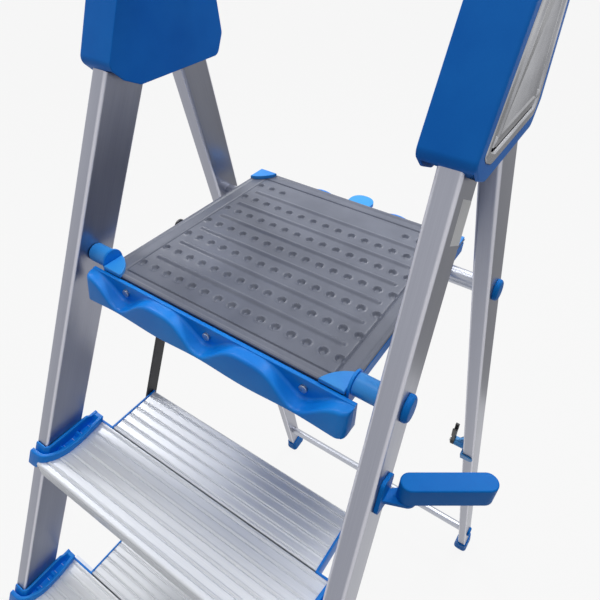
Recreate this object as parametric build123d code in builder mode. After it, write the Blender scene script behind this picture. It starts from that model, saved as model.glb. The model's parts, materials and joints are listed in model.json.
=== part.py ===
from build123d import *
from math import atan2, cos, degrees, radians, sin, tan
import os

# Platform ladder in millimetres: X across, Y from front to back, Z up from the floor.
# The front frame carries four fixed deep steps, the rear frame and the platform fold.

# Overall layout
platform_height = 1250
step_count = 4
step_pitch = platform_height / (step_count + 1)
front_lean = 24.4
rear_lean = 17.1

# Tread plate of the platform
plate_width = 300
plate_depth = 282

# Rails: closed rounded tubes, splayed so that the frames widen towards the floor
front_rail_width = 20.5
front_rail_depth = 51
front_rail_clearance = 34.6
front_splay = 0.0763
rear_rail_width = 21
rear_rail_depth = 42
rear_rail_clearance = 37.6
rear_splay = 0.0943
rear_line_inset = 39.2
run_over = 1.5
rail_wall = 1.8
rail_corner = 4
rail_fit = 0.15

# Feet
foot_sole = 9
foot_wall = 4
foot_height = 52
foot_round = 4

# Thickness and relief of the tread plate
plate_thickness = 7
plate_edge_round = 1.5
dimple_rows = 7
dimple_columns = 15
dimple_pitch_x = 18.5
dimple_pitch_y = 36.6
dimple_radius = 4.6
dimple_floor_radius = 2.8
dimple_depth = 2
bare_columns = 9
rib_length = 250
rib_width = 6
rib_rise = 1
border_line = 1.6
border_line_depth = 1
border_side = 14
border_end = 10.5

# Deck frame under the tread plate
deck_wall = 3
deck_gap = 1.8
deck_end_gap = 1
deck_bottom = 17
deck_top = 3
deck_skin = 3
deck_rib = 4
deck_pocket_columns = 5
deck_pocket_rows = 4
pivot_pin_diameter = 12
pivot_bush_diameter = 22
pivot_ear_radius = 13
pivot_rise = 4
pivot_from_plate = 11.3
running_fit = 0.1
pin_seat = 0.05
bush_gap = 1.2
pin_recess = 1.5
ear_skin = 1
stay_lug_radius = 9

# Tool ledges at both ends of the platform
ledge_over_front = 18
ledge_short_rear = 2
ledge_back_wall = 4
ledge_reach_top = 13
ledge_reach_bottom = 19
ledge_bottom = 31
ledge_wall = 3
wave_length = 116
wave_depth = 24
wave_crest = 1
rear_wave_crest = 8
ledge_corner = 9
screw_diameter = 4
screw_head_diameter = 9
screw_head_height = 2.6
screw_length = 12
screw_drop = 12

# Corner clips
clip_leg = 27
clip_height = 5
clip_inset = 0.5
clip_waist = 0.62
clip_round = 1

# Treads: a front plank fixed between the rails and a narrower rear plank behind it
tread_nose = 13
front_plank_depth = 92
rear_plank_depth = 80
rear_plank_over = 16.5
plank_thickness = 30
rear_plank_thickness = 26
plank_wall = 2.4
plank_chambers = 3
plank_nose_round = 6
plank_ledge = 10
groove_pitch = 10.5
groove_width = 1.4
groove_depth = 0.7
bead_drop = 11
bead_width = 2.5
bead_depth = 1
trim_thickness = 2
trim_rise = 1
trim_gap = 1.5
seat_gap = 0.1

# Step collars, which wrap the rail's front and inner faces
collar_height = 15
collar_band = 7
collar_drop = 24
collar_bulge = 21
collar_half_length = 40
collar_lip = 4
collar_wall = 4
collar_slot_floor = 2
collar_flange = 11
collar_reach = 17.5
collar_skirt_gap = 1.5
collar_rear_flange = 3
collar_rear_reach = 8
collar_rib = 1.6
collar_rib_pitch = 15
collar_rib_count = 3

# Stays between platform and top step
stay_crank_depth = 118
stay_crank_drop = 22
stay_width = 18
stay_thickness = 3
stay_gap = 0.8
stay_pin_diameter = 8
stay_spacer_diameter = 13
stay_head_diameter = 13
stay_head_height = 1.8
stay_head_gap = 0.3
stay_stud_diameter = 10
stay_stud_drop = 12
stay_stud_gap = 0.3

# Rungs of the rear frame and the cross tube at the top
rung_diameter = 21
rung_wall = 1.6
rung_fit = 0.1
upper_rung_drop = 28
lower_rung_height = 146
cap_diameter = 26
cap_height = 6
cap_spigot_diameter = 11
cap_spigot_length = 10
cap_dome = 0.6
rung_recess = 1.5
top_tube_diameter = 25
top_tube_above = 71

# Frame hinge at the top
hinge_behind = 47
hinge_pin_diameter = 12
hinge_pin_over = 2
hinge_lobe_radius = 17
inner_plate_thickness = 2.5
outer_plate_thickness = 4
hinge_plate_width = 34
hinge_plate_corner = 8
hinge_plate_below = 75
hinge_plate_above = 34
knuckle_radius = 17
knuckle_width = 13
knuckle_neck = 3
knuckle_plug = 40
rear_rail_short = 25

# Top caps, which cover both rails at the hinge
cover_side_gap = 1.2
cover_width = 44
cover_wall = 3
cover_front = 34
cover_toe_below = 83
cover_tongue_front = 14
cover_tongue_back = 8
cover_tongue_below = 90
cover_back = 114
cover_back_foot_below = 39
cover_back_head_below = 15
cover_shoulder_above = 81
cover_top_front = 22
cover_top_back = 45
cover_top_above = 95
cover_round = 9
cover_edge_round = 2.5
cover_head_gap = 2
window_margin = 13
side_plate_thickness = 1.5
side_plate_gap = 0.2
side_rib_pitch = 9
side_rib_width = 4
side_rib_rise = 1

# Swivelling side hook on the right rail
hook_drop = 50
hook_thickness = 24
hook_reach = 66
hook_radius = 9.4
hook_edge_round = 1.6
hook_turn = 34.5
hook_stand_off = 21
hook_behind = 4
hook_pin_diameter = 7
hook_head_diameter = 12
hook_head_height = 2.5
hook_bracket_length = 34
hook_bracket_width = 26
hook_bracket_thickness = 4
hook_bracket_corner = 6
hook_ear = 5
hook_gap = 0.3
hook_wall = 3

# Transport latch on the right rear rail
latch_drop = 514
latch_pin_diameter = 7
latch_pin_seat = 12
latch_head_diameter = 12
latch_head_height = 2
latch_thickness = 7
latch_inset = 24
latch_gap = 0.3
latch_up = 64
latch_down = 13
latch_width = 13
latch_fork_width = 21
latch_fork_height = 26
latch_mouth = 9
latch_mouth_depth = 12
latch_tine = 11
latch_tine_tip = 2
latch_corner = 4
latch_bracket_height = 50
latch_bracket_width = 24
latch_bracket_thickness = 4
latch_bracket_corner = 8
latch_boss_diameter = 18
latch_gusset = 26
latch_gusset_width = 9
latch_lobe_diameter = 19
latch_lobe_thickness = 3

# Release lever of the platform
lever_width = 34
lever_thickness = 6
lever_pin_diameter = 5
lever_pin_out = 8
lever_pin_drop = 14
lever_paddle = 26
lever_hub_radius = 6
lever_finger_gap = 1
lever_finger_drop = 14
lever_side_gap = 1.5
lever_lug = 5
lever_slot_top = 7

os.makedirs("parts", exist_ok=True)

# Rail lines seen from the side. The front rail's centre line passes through the platform pivot.
front_slope = tan(radians(front_lean))
rear_slope = tan(radians(rear_lean))
front_cos = cos(radians(front_lean))
front_sin = sin(radians(front_lean))
rear_cos = cos(radians(rear_lean))
rear_sin = sin(radians(rear_lean))
front_line = pivot_from_plate - pivot_rise * front_slope

# The frame hinge lies where the rear rail's centre line meets a line behind the front rail.
rear_line = plate_depth - rear_line_inset
hinge_start_y = pivot_from_plate + hinge_behind * front_cos
hinge_start_z = pivot_rise - hinge_behind * front_sin
hinge_along = (rear_line - hinge_start_y - hinge_start_z * rear_slope) / (front_sin + front_cos * rear_slope)
hinge_y = hinge_start_y + hinge_along * front_sin
hinge_z = hinge_start_z + hinge_along * front_cos

# The ladder stands centred over its four feet.
front_toe = front_line - platform_height * front_slope - (front_rail_depth / 2 + foot_wall) / front_cos
rear_heel = rear_line + platform_height * rear_slope + (rear_rail_depth / 2 + foot_wall) / rear_cos
plate_front = -(front_toe + rear_heel) / 2
deck = Plane(origin=(0, plate_front, platform_height))

# Across the ladder, everything is set out from the tread plate.
plate_half = plate_width / 2
front_half_gap = plate_half + front_rail_clearance
rear_half_gap = plate_half + rear_rail_clearance
ledge_half_front = plate_half + ledge_over_front
ledge_half_rear = plate_half - ledge_short_rear
rear_plank_half = plate_half + rear_plank_over
deck_half = plate_half + deck_gap + deck_wall
cover_inner_x = deck_half + cover_side_gap
cover_outer_x = cover_inner_x + cover_width
lower_rung_drop = platform_height - lower_rung_height
top_tube_along = hinge_along + top_tube_above


def front_half(height):
    return front_half_gap - front_splay * height


def rear_half(height):
    return rear_half_gap - rear_splay * height


def side_plane(x):
    # Local axes: Y towards the back and Z up, from the plate's front edge
    return Plane(origin=(x, plate_front, platform_height), x_dir=(0, 1, 0), z_dir=(1, 0, 0))


def front_plane(y):
    # Local axes: X across and Z up, facing the front
    return Plane(origin=(0, plate_front + y, platform_height), x_dir=(1, 0, 0), z_dir=(0, -1, 0))


def lean_plane(x):
    # Local axes: behind the front rail's centre line, and along the rail from the platform pivot
    origin = (x, plate_front + pivot_from_plate, platform_height + pivot_rise)
    return Plane(origin=origin, x_dir=(0, front_cos, -front_sin), z_dir=(1, 0, 0))


def rear_lean_plane(x):
    # The same for the rear rail, from the frame hinge
    origin = (x, plate_front + hinge_y, platform_height + hinge_z)
    return Plane(origin=origin, x_dir=(0, rear_cos, rear_sin), z_dir=(1, 0, 0))


def along_rail(half, splay, slope, line, width, height):
    # A rail's own frame: X outwards, Y backwards, Z up the rail
    axis = Vector(-splay, slope, 1).normalized()
    across = (Vector(1, 0, 0) - axis * axis.X).normalized()
    centre = (half(height) + width / 2, plate_front + line + slope * height, platform_height + height)
    return Plane(origin=centre, x_dir=across, z_dir=axis)


def front_rail_plane(height):
    return along_rail(front_half, front_splay, front_slope, front_line, front_rail_width, height)


def rear_rail_plane(height):
    return along_rail(rear_half, rear_splay, -rear_slope, rear_line, rear_rail_width, height)


def save(part, name):
    part.label = name
    export_step(part, f"parts/{name}.step")


def save_pair(part, name):
    # The right-hand piece and its mirror image on the left
    save(part, f"{name}_right")
    save(mirror(part, about=Plane.YZ), f"{name}_left")


def both_sides(part):
    return Compound(children=[part, mirror(part, about=Plane.YZ)])


floor = Plane.XY
sole_top = Plane.XY.offset(foot_sole)
front_pivot_plane = front_rail_plane(pivot_rise)
rear_hinge_plane = rear_rail_plane(hinge_z)
front_run_down = run_over * platform_height / front_cos
rear_run_down = run_over * platform_height / rear_cos
rail_top_along = top_tube_along + top_tube_diameter / 2

# Holes along X through the rails
pivot_y = plate_front + pivot_from_plate
pivot_z = platform_height + pivot_rise
pivot_axis = Plane(origin=(0, pivot_y, pivot_z), z_dir=(1, 0, 0))


def rung_axis(drop):
    centre = (0, plate_front + rear_line + rear_slope * drop, platform_height - drop)
    return Plane(origin=centre, z_dir=(1, 0, 0))


# Front rails
with BuildPart() as front_rail:
    with BuildSketch(front_pivot_plane):
        RectangleRounded(front_rail_width, front_rail_depth, rail_corner)
        offset(amount=-rail_wall, mode=Mode.SUBTRACT)
    extrude(amount=rail_top_along)
    with BuildSketch(front_pivot_plane):
        RectangleRounded(front_rail_width, front_rail_depth, rail_corner)
        offset(amount=-rail_wall, mode=Mode.SUBTRACT)
    extrude(amount=-front_run_down)
    split(bisect_by=sole_top, keep=Keep.TOP)
    with BuildSketch(pivot_axis):
        Circle(pivot_pin_diameter / 2 + pin_seat)
    extrude(amount=2 * front_half_gap, mode=Mode.SUBTRACT)
save_pair(front_rail.part, "front_rail")

# Rear rails, which stop short of the frame hinge
with BuildPart() as rear_rail:
    with BuildSketch(rear_hinge_plane.offset(-rear_rail_short)):
        RectangleRounded(rear_rail_width, rear_rail_depth, rail_corner)
        offset(amount=-rail_wall, mode=Mode.SUBTRACT)
    extrude(amount=-rear_run_down)
    split(bisect_by=sole_top, keep=Keep.TOP)
    for drop in (upper_rung_drop, lower_rung_drop):
        with BuildSketch(rung_axis(drop)):
            Circle(rung_diameter / 2 + rung_fit)
        extrude(amount=2 * rear_half(-lower_rung_drop), mode=Mode.SUBTRACT)
save_pair(rear_rail.part, "rear_rail")


def rail_sleeve(plane, width, depth, run):
    # The space that a rail takes up inside a boot or a collar
    with BuildPart() as sleeve:
        with BuildSketch(plane):
            RectangleRounded(width + 2 * rail_fit, depth + 2 * rail_fit, rail_corner + rail_fit)
        extrude(amount=-run)
        split(bisect_by=sole_top, keep=Keep.TOP)
    return sleeve.part


def make_foot(plane, width, depth, run):
    # A boot round the rail's end, cut flat at the floor
    rim = (plane.origin.Z - foot_height) / plane.z_dir.Z
    sleeve = rail_sleeve(plane, width, depth, run)
    with BuildPart() as foot:
        with BuildSketch(plane.offset(-rim)):
            RectangleRounded(width + 2 * foot_wall, depth + 2 * foot_wall, rail_corner + foot_wall)
        extrude(amount=rim - run)
        split(bisect_by=floor, keep=Keep.TOP)
        fillet(foot.faces().sort_by(Axis.Z)[0].edges(), radius=foot_round)
        add(sleeve, mode=Mode.SUBTRACT)
    return foot.part


front_foot = make_foot(front_pivot_plane, front_rail_width, front_rail_depth, front_run_down)
save_pair(front_foot, "front_foot")
rear_foot = make_foot(rear_hinge_plane, rear_rail_width, rear_rail_depth, rear_run_down)
save_pair(rear_foot, "rear_foot")


# Rungs pass through both rear rails
def make_rung(drop):
    with BuildPart() as rung:
        with BuildSketch(rung_axis(drop)):
            Circle(rung_diameter / 2)
            Circle(rung_diameter / 2 - rung_wall, mode=Mode.SUBTRACT)
        extrude(amount=rear_half(-drop) + rear_rail_width - rung_recess, both=True)
    return rung.part


def make_cap(rail_plane, width, spigot):
    # A domed button on the rail's outer face
    face = Plane(origin=rail_plane.origin + rail_plane.x_dir * (width / 2), z_dir=rail_plane.x_dir)
    with BuildPart() as cap:
        with BuildSketch(face):
            Circle(cap_diameter / 2)
        extrude(amount=cap_height)
        fillet(cap.faces().sort_by(Axis.X)[-1].edges(), radius=cap_height * cap_dome)
        if spigot:
            with BuildSketch(face):
                Circle(cap_spigot_diameter / 2)
            extrude(amount=-cap_spigot_length)
    return cap.part


rung_caps = []
for name, drop in (("upper", upper_rung_drop), ("lower", lower_rung_drop)):
    save(make_rung(drop), f"rear_rung_{name}")
    cap = make_cap(rear_rail_plane(-drop), rear_rail_width, True)
    rung_caps += [cap, mirror(cap, about=Plane.YZ)]
save(Compound(children=rung_caps), "rung_end_caps")

# Platform pivot: a pin through each front rail, under a button
ear_outer = deck_half + deck_wall
pin_start = deck_half + ear_skin + running_fit
rail_outer_at_pivot = front_half(pivot_rise) + front_rail_width
with BuildPart() as pivot_pin:
    with BuildSketch(pivot_axis.offset(pin_start)):
        Circle(pivot_pin_diameter / 2)
    extrude(amount=rail_outer_at_pivot - pin_recess - pin_start)
save(both_sides(pivot_pin.part), "platform_pivot_pins")
pivot_cap = make_cap(front_pivot_plane, front_rail_width, False)
save(both_sides(pivot_cap), "pivot_end_caps")

with BuildPart() as pivot_bush:
    with BuildSketch(pivot_axis.offset(ear_outer)):
        Circle(pivot_bush_diameter / 2)
        Circle(pivot_pin_diameter / 2 + running_fit, mode=Mode.SUBTRACT)
    extrude(amount=front_half(pivot_rise) - bush_gap - ear_outer)
save(both_sides(pivot_bush.part), "pivot_bushes")

# Deck frame: a ribbed tray with ears for the pivot pins and lugs for the stays
deck_end = deck_end_gap + deck_wall
rear_screws = [(-wave_length, -screw_drop), (wave_length, -screw_drop)]
front_screws = rear_screws + [(0, -screw_drop)]
stay_y = pivot_from_plate + stay_crank_depth
stay_z = pivot_rise - stay_crank_drop
with BuildPart() as deck_frame:
    with BuildSketch(deck.offset(-deck_bottom)):
        with Locations((0, plate_depth / 2)):
            Rectangle(2 * deck_half, plate_depth + 2 * deck_end)
    extrude(amount=deck_bottom - deck_top)
    with BuildSketch(deck.offset(-plate_thickness)):
        with Locations((0, plate_depth / 2)):
            Rectangle(plate_width + 2 * deck_gap, plate_depth + 2 * deck_end_gap)
    extrude(amount=plate_thickness, mode=Mode.SUBTRACT)
    pocket_x = (2 * deck_half - deck_rib) / deck_pocket_columns
    pocket_y = (plate_depth + 2 * deck_end - deck_rib) / deck_pocket_rows
    with BuildSketch(deck.offset(-deck_bottom)):
        with Locations((0, plate_depth / 2)):
            with GridLocations(pocket_x, pocket_y, deck_pocket_columns, deck_pocket_rows):
                Rectangle(pocket_x - deck_rib, pocket_y - deck_rib)
    extrude(amount=deck_bottom - plate_thickness - deck_skin, mode=Mode.SUBTRACT)
    for x, way in ((deck_half, 1), (-deck_half, -1)):
        with BuildSketch(side_plane(x)):
            with Locations((pivot_from_plate, pivot_rise)):
                Circle(pivot_ear_radius)
            with Locations((pivot_from_plate, (pivot_rise - deck_bottom) / 2)):
                Rectangle(2 * pivot_ear_radius, pivot_rise + deck_bottom)
            with Locations((stay_y, stay_z)):
                Circle(stay_lug_radius)
            with Locations((stay_y, (stay_z - deck_top) / 2)):
                Rectangle(2 * stay_lug_radius, -deck_top - stay_z)
        extrude(amount=way * deck_wall)
        with BuildSketch(side_plane(x + way * ear_skin)):
            with Locations((pivot_from_plate, pivot_rise)):
                Circle(pivot_pin_diameter / 2 + running_fit)
        extrude(amount=way * deck_wall, mode=Mode.SUBTRACT)
        with BuildSketch(side_plane(x)):
            with Locations((stay_y, stay_z)):
                Circle(stay_pin_diameter / 2 + pin_seat)
        extrude(amount=way * deck_wall, mode=Mode.SUBTRACT)
    for y, way, places in ((-deck_end, -1, front_screws), (plate_depth + deck_end, 1, rear_screws)):
        with BuildSketch(front_plane(y)):
            with Locations(*places):
                Circle(screw_diameter / 2 + pin_seat)
        extrude(amount=way * screw_length, mode=Mode.SUBTRACT)
save(deck_frame.part, "deck_frame")

# Tread plate with rows of dimples between raised ribs
with BuildPart() as tread_plate:
    with BuildSketch(deck.offset(-plate_thickness)):
        with Locations((0, plate_depth / 2)):
            Rectangle(plate_width, plate_depth)
    extrude(amount=plate_thickness)
    fillet(tread_plate.faces().sort_by(Axis.Z)[-1].edges(), radius=plate_edge_round)
    with BuildSketch(deck):
        with Locations((0, plate_depth / 2)):
            Rectangle(plate_width - 2 * border_side, plate_depth - 2 * border_end)
            Rectangle(plate_width - 2 * border_side - 2 * border_line,
                      plate_depth - 2 * border_end - 2 * border_line, mode=Mode.SUBTRACT)
    extrude(amount=-border_line_depth, mode=Mode.SUBTRACT)
    with BuildSketch(deck):
        with Locations((0, plate_depth / 2)):
            with GridLocations(0, dimple_pitch_y, 1, dimple_rows - 1):
                SlotOverall(rib_length, rib_width)
    extrude(amount=rib_rise)
    with BuildSketch(deck):
        with Locations((0, plate_depth / 2)):
            with GridLocations(dimple_pitch_x, dimple_pitch_y, dimple_columns, dimple_rows):
                Circle(dimple_radius)
        bare_row = plate_depth / 2 + dimple_pitch_y * (dimple_rows - 1) / 2
        with Locations((0, bare_row)):
            Rectangle(bare_columns * dimple_pitch_x, dimple_pitch_y / 2, mode=Mode.SUBTRACT)
    cup_taper = degrees(atan2(dimple_radius - dimple_floor_radius, dimple_depth))
    extrude(amount=-dimple_depth, taper=cup_taper, mode=Mode.SUBTRACT)
save(tread_plate.part, "tread_plate")

# Corner clips over the tread plate's four corners
clip_corner_x = deck_half - clip_inset
clip_corner_y = -deck_end + clip_inset
with BuildPart() as corner_clip:
    with BuildSketch(deck):
        with BuildLine():
            Polyline((clip_corner_x - clip_leg, clip_corner_y), (clip_corner_x, clip_corner_y),
                     (clip_corner_x, clip_corner_y + clip_leg))
            hollow = (clip_corner_x - clip_leg * clip_waist, clip_corner_y + clip_leg * clip_waist)
            ThreePointArc((clip_corner_x, clip_corner_y + clip_leg), hollow,
                          (clip_corner_x - clip_leg, clip_corner_y))
        make_face()
    extrude(amount=clip_height)
    fillet(corner_clip.faces().sort_by(Axis.Z)[-1].edges(), radius=clip_round)
plate_middle = Plane(origin=(0, plate_front + plate_depth / 2, 0), z_dir=(0, 1, 0))
front_clips = both_sides(corner_clip.part)
rear_clips = mirror(front_clips, about=plate_middle)
save(Compound(children=[*front_clips.solids(), *rear_clips.solids()]), "corner_clips")


# Tool ledges: the top edge waves between crests and three screw pockets
def ledge_block(half, inset, crest_drop):
    # The outer form at inset 0, and the hollow under it at the wall's thickness
    back = -deck_end - (ledge_back_wall if inset else 0)
    front_top = -deck_end - ledge_back_wall - ledge_reach_top + inset
    front_low = -deck_end - ledge_back_wall - ledge_reach_bottom + inset
    low = -ledge_bottom - inset
    top = -wave_crest - inset
    crest = -crest_drop - inset
    trough = top - wave_depth
    with BuildPart() as block:
        with BuildSketch(side_plane(0)):
            Polygon((back, top), (back, low), (front_low, low), (front_top, top), align=None)
        extrude(amount=half - inset, both=True)
        front_corners = block.faces().sort_by(Axis.Y)[0].edges().filter_by(Axis.X, reverse=True)
        fillet(front_corners, radius=ledge_corner - inset)
        with BuildSketch(front_plane(-deck_end - ledge_back_wall)):
            with BuildLine():
                wave = []
                for turn in range(-3, 4):
                    level = crest if turn % 2 else trough
                    wave.append((turn * wave_length / 2, level))
                Spline(*wave, tangents=[(1, 0)] * len(wave))
                Polyline(wave[-1], (wave[-1][0], wave_depth), (wave[0][0], wave_depth), wave[0])
            make_face()
        extrude(amount=2 * ledge_reach_bottom, mode=Mode.SUBTRACT)
    return block.part


def make_ledge(half, screws, crest_drop):
    with BuildPart() as ledge:
        add(ledge_block(half, 0, crest_drop))
        add(ledge_block(half, ledge_wall, crest_drop), mode=Mode.SUBTRACT)
        with BuildSketch(front_plane(-deck_end)):
            with Locations(*screws):
                Circle(screw_diameter / 2 + pin_seat)
        extrude(amount=ledge_back_wall, mode=Mode.SUBTRACT)
    return ledge.part


save(make_ledge(ledge_half_front, front_screws, wave_crest), "front_ledge")

# The rear ledge has a slot for the release lever, with a lug for its pin on either side
ledge_face = -deck_end - ledge_back_wall
lever_half_slot = lever_width / 2 + lever_side_gap
lever_y = ledge_face - lever_pin_out
with BuildPart() as rear_ledge:
    add(make_ledge(ledge_half_rear, rear_screws, rear_wave_crest))
    with BuildSketch(front_plane(-deck_end)):
        with Locations((0, -lever_slot_top)):
            Rectangle(2 * lever_half_slot, ledge_bottom, align=(Align.CENTER, Align.MAX))
    extrude(amount=ledge_back_wall + ledge_reach_bottom, mode=Mode.SUBTRACT)
    for x in (lever_half_slot, -lever_half_slot - lever_lug):
        with BuildSketch(side_plane(x)):
            with Locations((lever_y, -lever_pin_drop)):
                Circle(lever_hub_radius)
            with Locations(((lever_y + ledge_face) / 2, -lever_pin_drop)):
                Rectangle(lever_pin_out, 2 * lever_hub_radius)
        extrude(amount=lever_lug)
    with BuildSketch(side_plane(0)):
        with Locations((lever_y, -lever_pin_drop)):
            Circle(lever_pin_diameter / 2 + pin_seat)
    extrude(amount=lever_half_slot + lever_lug, both=True, mode=Mode.SUBTRACT)
    mirror(about=plate_middle, mode=Mode.REPLACE)
save(rear_ledge.part, "rear_ledge")

with BuildPart() as ledge_screws:
    for y, way, places in ((ledge_face, 1, front_screws), (plate_depth - ledge_face, -1, rear_screws)):
        with BuildSketch(front_plane(y)):
            with Locations(*places):
                Circle(screw_head_diameter / 2)
        extrude(amount=way * screw_head_height)
        with BuildSketch(front_plane(y)):
            with Locations(*places):
                Circle(screw_diameter / 2)
        extrude(amount=-way * screw_length)
save(ledge_screws.part, "ledge_screws")

# Release lever: a paddle behind the rear ledge and a finger that reaches in behind the upper rung
rung_back = rear_line + rear_slope * upper_rung_drop + rung_diameter / 2
lever_pivot_y = plate_depth - lever_y
finger_tip = rung_back + lever_finger_gap
finger_top = -deck_bottom - lever_finger_gap
with BuildPart() as release_lever:
    with BuildSketch(side_plane(-lever_width / 2)):
        with Locations((lever_pivot_y, -lever_pin_drop)):
            Circle(lever_hub_radius)
        with Locations((lever_pivot_y + lever_paddle / 2, -lever_pin_drop + lever_thickness / 2)):
            Rectangle(lever_paddle, lever_thickness)
        with Locations(((finger_tip + lever_pivot_y) / 2, finger_top - lever_thickness / 2)):
            Rectangle(lever_pivot_y - finger_tip, lever_thickness)
        with Locations((finger_tip + lever_thickness / 2, finger_top - lever_finger_drop / 2)):
            Rectangle(lever_thickness, lever_finger_drop)
        with Locations((lever_pivot_y, -lever_pin_drop)):
            Circle(lever_pin_diameter / 2 + running_fit, mode=Mode.SUBTRACT)
    extrude(amount=lever_width)
    paddle_end = release_lever.faces().sort_by(Axis.Y)[-1]
    fillet(paddle_end.edges().filter_by(Axis.Z), radius=lever_width / 2 - lever_side_gap)
save(release_lever.part, "release_lever")

with BuildPart() as lever_pin:
    with BuildSketch(side_plane(-lever_half_slot - lever_lug)):
        with Locations((lever_pivot_y, -lever_pin_drop)):
            Circle(lever_pin_diameter / 2)
    extrude(amount=2 * (lever_half_slot + lever_lug))
save(lever_pin.part, "lever_pin")


# Steps
def inner_face(height):
    # The right front rail's inner face, a hair off so that what meets it doesn't cut in
    rail = front_rail_plane(height)
    return Plane(origin=rail.origin - rail.x_dir * (front_rail_width / 2 + seat_gap), z_dir=rail.x_dir)


def mirrored(plane):
    return Plane(
        origin=(-plane.origin.X, plane.origin.Y, plane.origin.Z),
        z_dir=(-plane.z_dir.X, plane.z_dir.Y, plane.z_dir.Z),
    )


def plank_section(front, top, depth, thickness):
    # A hollow extrusion with grooves along its top
    middle = front + depth / 2
    chamber = (depth - plank_wall) / plank_chambers
    grooves = int((depth - 2 * plank_nose_round) / groove_pitch) + 1
    with BuildSketch() as section:
        with Locations((middle, top - thickness / 2)):
            Rectangle(depth, thickness)
        fillet(section.vertices().group_by(Axis.X)[0], radius=plank_nose_round)
        with Locations((middle, top - thickness / 2)):
            with GridLocations(chamber, 0, plank_chambers, 1):
                RectangleRounded(chamber - plank_wall, thickness - 2 * plank_wall, plank_wall,
                                 mode=Mode.SUBTRACT)
        with Locations((middle, top - groove_depth / 2)):
            with GridLocations(groove_pitch, 0, grooves, 1):
                Rectangle(groove_width, groove_depth, mode=Mode.SUBTRACT)
    return section.sketch


def make_step(number):
    drop = number * step_pitch
    front = front_line - front_slope * drop - front_rail_depth / 2 / front_cos - tread_nose
    joint_y = front + front_plank_depth
    back = joint_y + seat_gap + rear_plank_depth
    inner = inner_face(-drop)
    with BuildPart() as front_plank:
        with BuildSketch(side_plane(0)):
            add(plank_section(front, -drop, front_plank_depth, plank_thickness))
            ledge_height = plank_thickness - rear_plank_thickness - seat_gap
            with Locations((joint_y + plank_ledge / 2, -drop - plank_thickness + ledge_height / 2)):
                Rectangle(plank_ledge, ledge_height)
            with Locations((front + bead_depth / 2, -drop - bead_drop)):
                Rectangle(bead_depth, bead_width, mode=Mode.SUBTRACT)
        extrude(amount=front_half(-drop) + plank_thickness, both=True)
        split(bisect_by=inner, keep=Keep.BOTTOM)
        split(bisect_by=mirrored(inner), keep=Keep.BOTTOM)
    save(front_plank.part, f"step_{number}_front_plank")

    with BuildPart() as rear_plank:
        with BuildSketch(side_plane(0)):
            section = plank_section(-back, -drop, rear_plank_depth, rear_plank_thickness)
            add(mirror(section, about=Plane.YZ))
        extrude(amount=rear_plank_half, both=True)
    save(rear_plank.part, f"step_{number}_rear_plank")

    trim_outer = front_half(-drop) - trim_gap
    with BuildPart() as trim:
        with BuildSketch(deck.offset(-drop - rear_plank_thickness)):
            with Locations((rear_plank_half, joint_y + seat_gap)):
                Rectangle(trim_thickness, rear_plank_depth, align=(Align.MIN, Align.MIN))
                Rectangle(trim_outer - rear_plank_half, trim_thickness, align=(Align.MIN, Align.MIN))
        extrude(amount=rear_plank_thickness + trim_rise)
    save(both_sides(trim.part), f"step_{number}_end_trims")


def make_collars(number):
    # A half oval on the tread beside the rail, with flanges round the rail and a ribbed slot on top
    drop = number * step_pitch
    rail = front_rail_plane(-drop)
    axis = rail.z_dir
    face = front_half(-drop)
    centre = front_line - front_slope * drop
    rail_front = centre - front_rail_depth / 2 / front_cos
    rail_back = centre + front_rail_depth / 2 / front_cos
    tread = deck.offset(-drop)
    with BuildPart() as sleeve:
        with BuildSketch(rail):
            RectangleRounded(front_rail_width + 2 * rail_fit, front_rail_depth + 2 * rail_fit,
                             rail_corner + rail_fit)
        extrude(amount=step_pitch, both=True)
    with BuildPart() as collar:
        with BuildSketch(tread):
            with Locations((face, centre)):
                Ellipse(collar_bulge, collar_half_length)
            with Locations((face + collar_rear_reach, centre)):
                Rectangle(2 * collar_bulge, 2 * collar_half_length, align=(Align.MIN, Align.CENTER),
                          mode=Mode.SUBTRACT)
            with Locations((face, rail_front - collar_flange)):
                Rectangle(collar_reach, collar_half_length, align=(Align.MIN, Align.MIN))
            with Locations((face, rail_back + collar_rear_flange)):
                Rectangle(2 * collar_bulge, collar_half_length, align=(Align.MIN, Align.MIN),
                          mode=Mode.SUBTRACT)
        extrude(amount=collar_band / axis.Z, dir=axis)
        with BuildSketch(tread):
            with Locations((face + collar_skirt_gap, rail_front - collar_flange)):
                Rectangle(collar_reach - collar_skirt_gap, 2 * collar_flange, align=(Align.MIN, Align.MIN))
        extrude(amount=collar_drop / axis.Z, dir=-axis)
        with BuildSketch(tread.offset(collar_slot_floor)):
            lift = axis * (collar_slot_floor / axis.Z)
            with Locations((face + lift.X, centre + lift.Y)):
                Ellipse(collar_bulge - collar_lip, collar_half_length - 2 * collar_lip)
                with GridLocations(0, collar_rib_pitch, 1, collar_rib_count):
                    Rectangle(2 * collar_bulge, collar_rib, mode=Mode.SUBTRACT)
            with Locations((face + lift.X, rail_front - collar_flange + collar_lip + lift.Y)):
                Rectangle(collar_reach, collar_flange, align=(Align.MIN, Align.MIN))
        extrude(amount=collar_height / axis.Z, dir=axis, mode=Mode.SUBTRACT)
        with BuildSketch(tread):
            with Locations((face - collar_wall, rail_front - collar_wall)):
                Rectangle(collar_wall + collar_reach, 2 * collar_wall, align=(Align.MIN, Align.MIN))
                Rectangle(2 * collar_wall, rail_back - rail_front + collar_wall, align=(Align.MIN, Align.MIN))
        extrude(amount=collar_height / axis.Z, dir=axis)
        add(sleeve.part, mode=Mode.SUBTRACT)
    save(both_sides(collar.part), f"step_{number}_collars")


for number in range(1, step_count + 1):
    make_step(number)
    make_collars(number)

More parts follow.
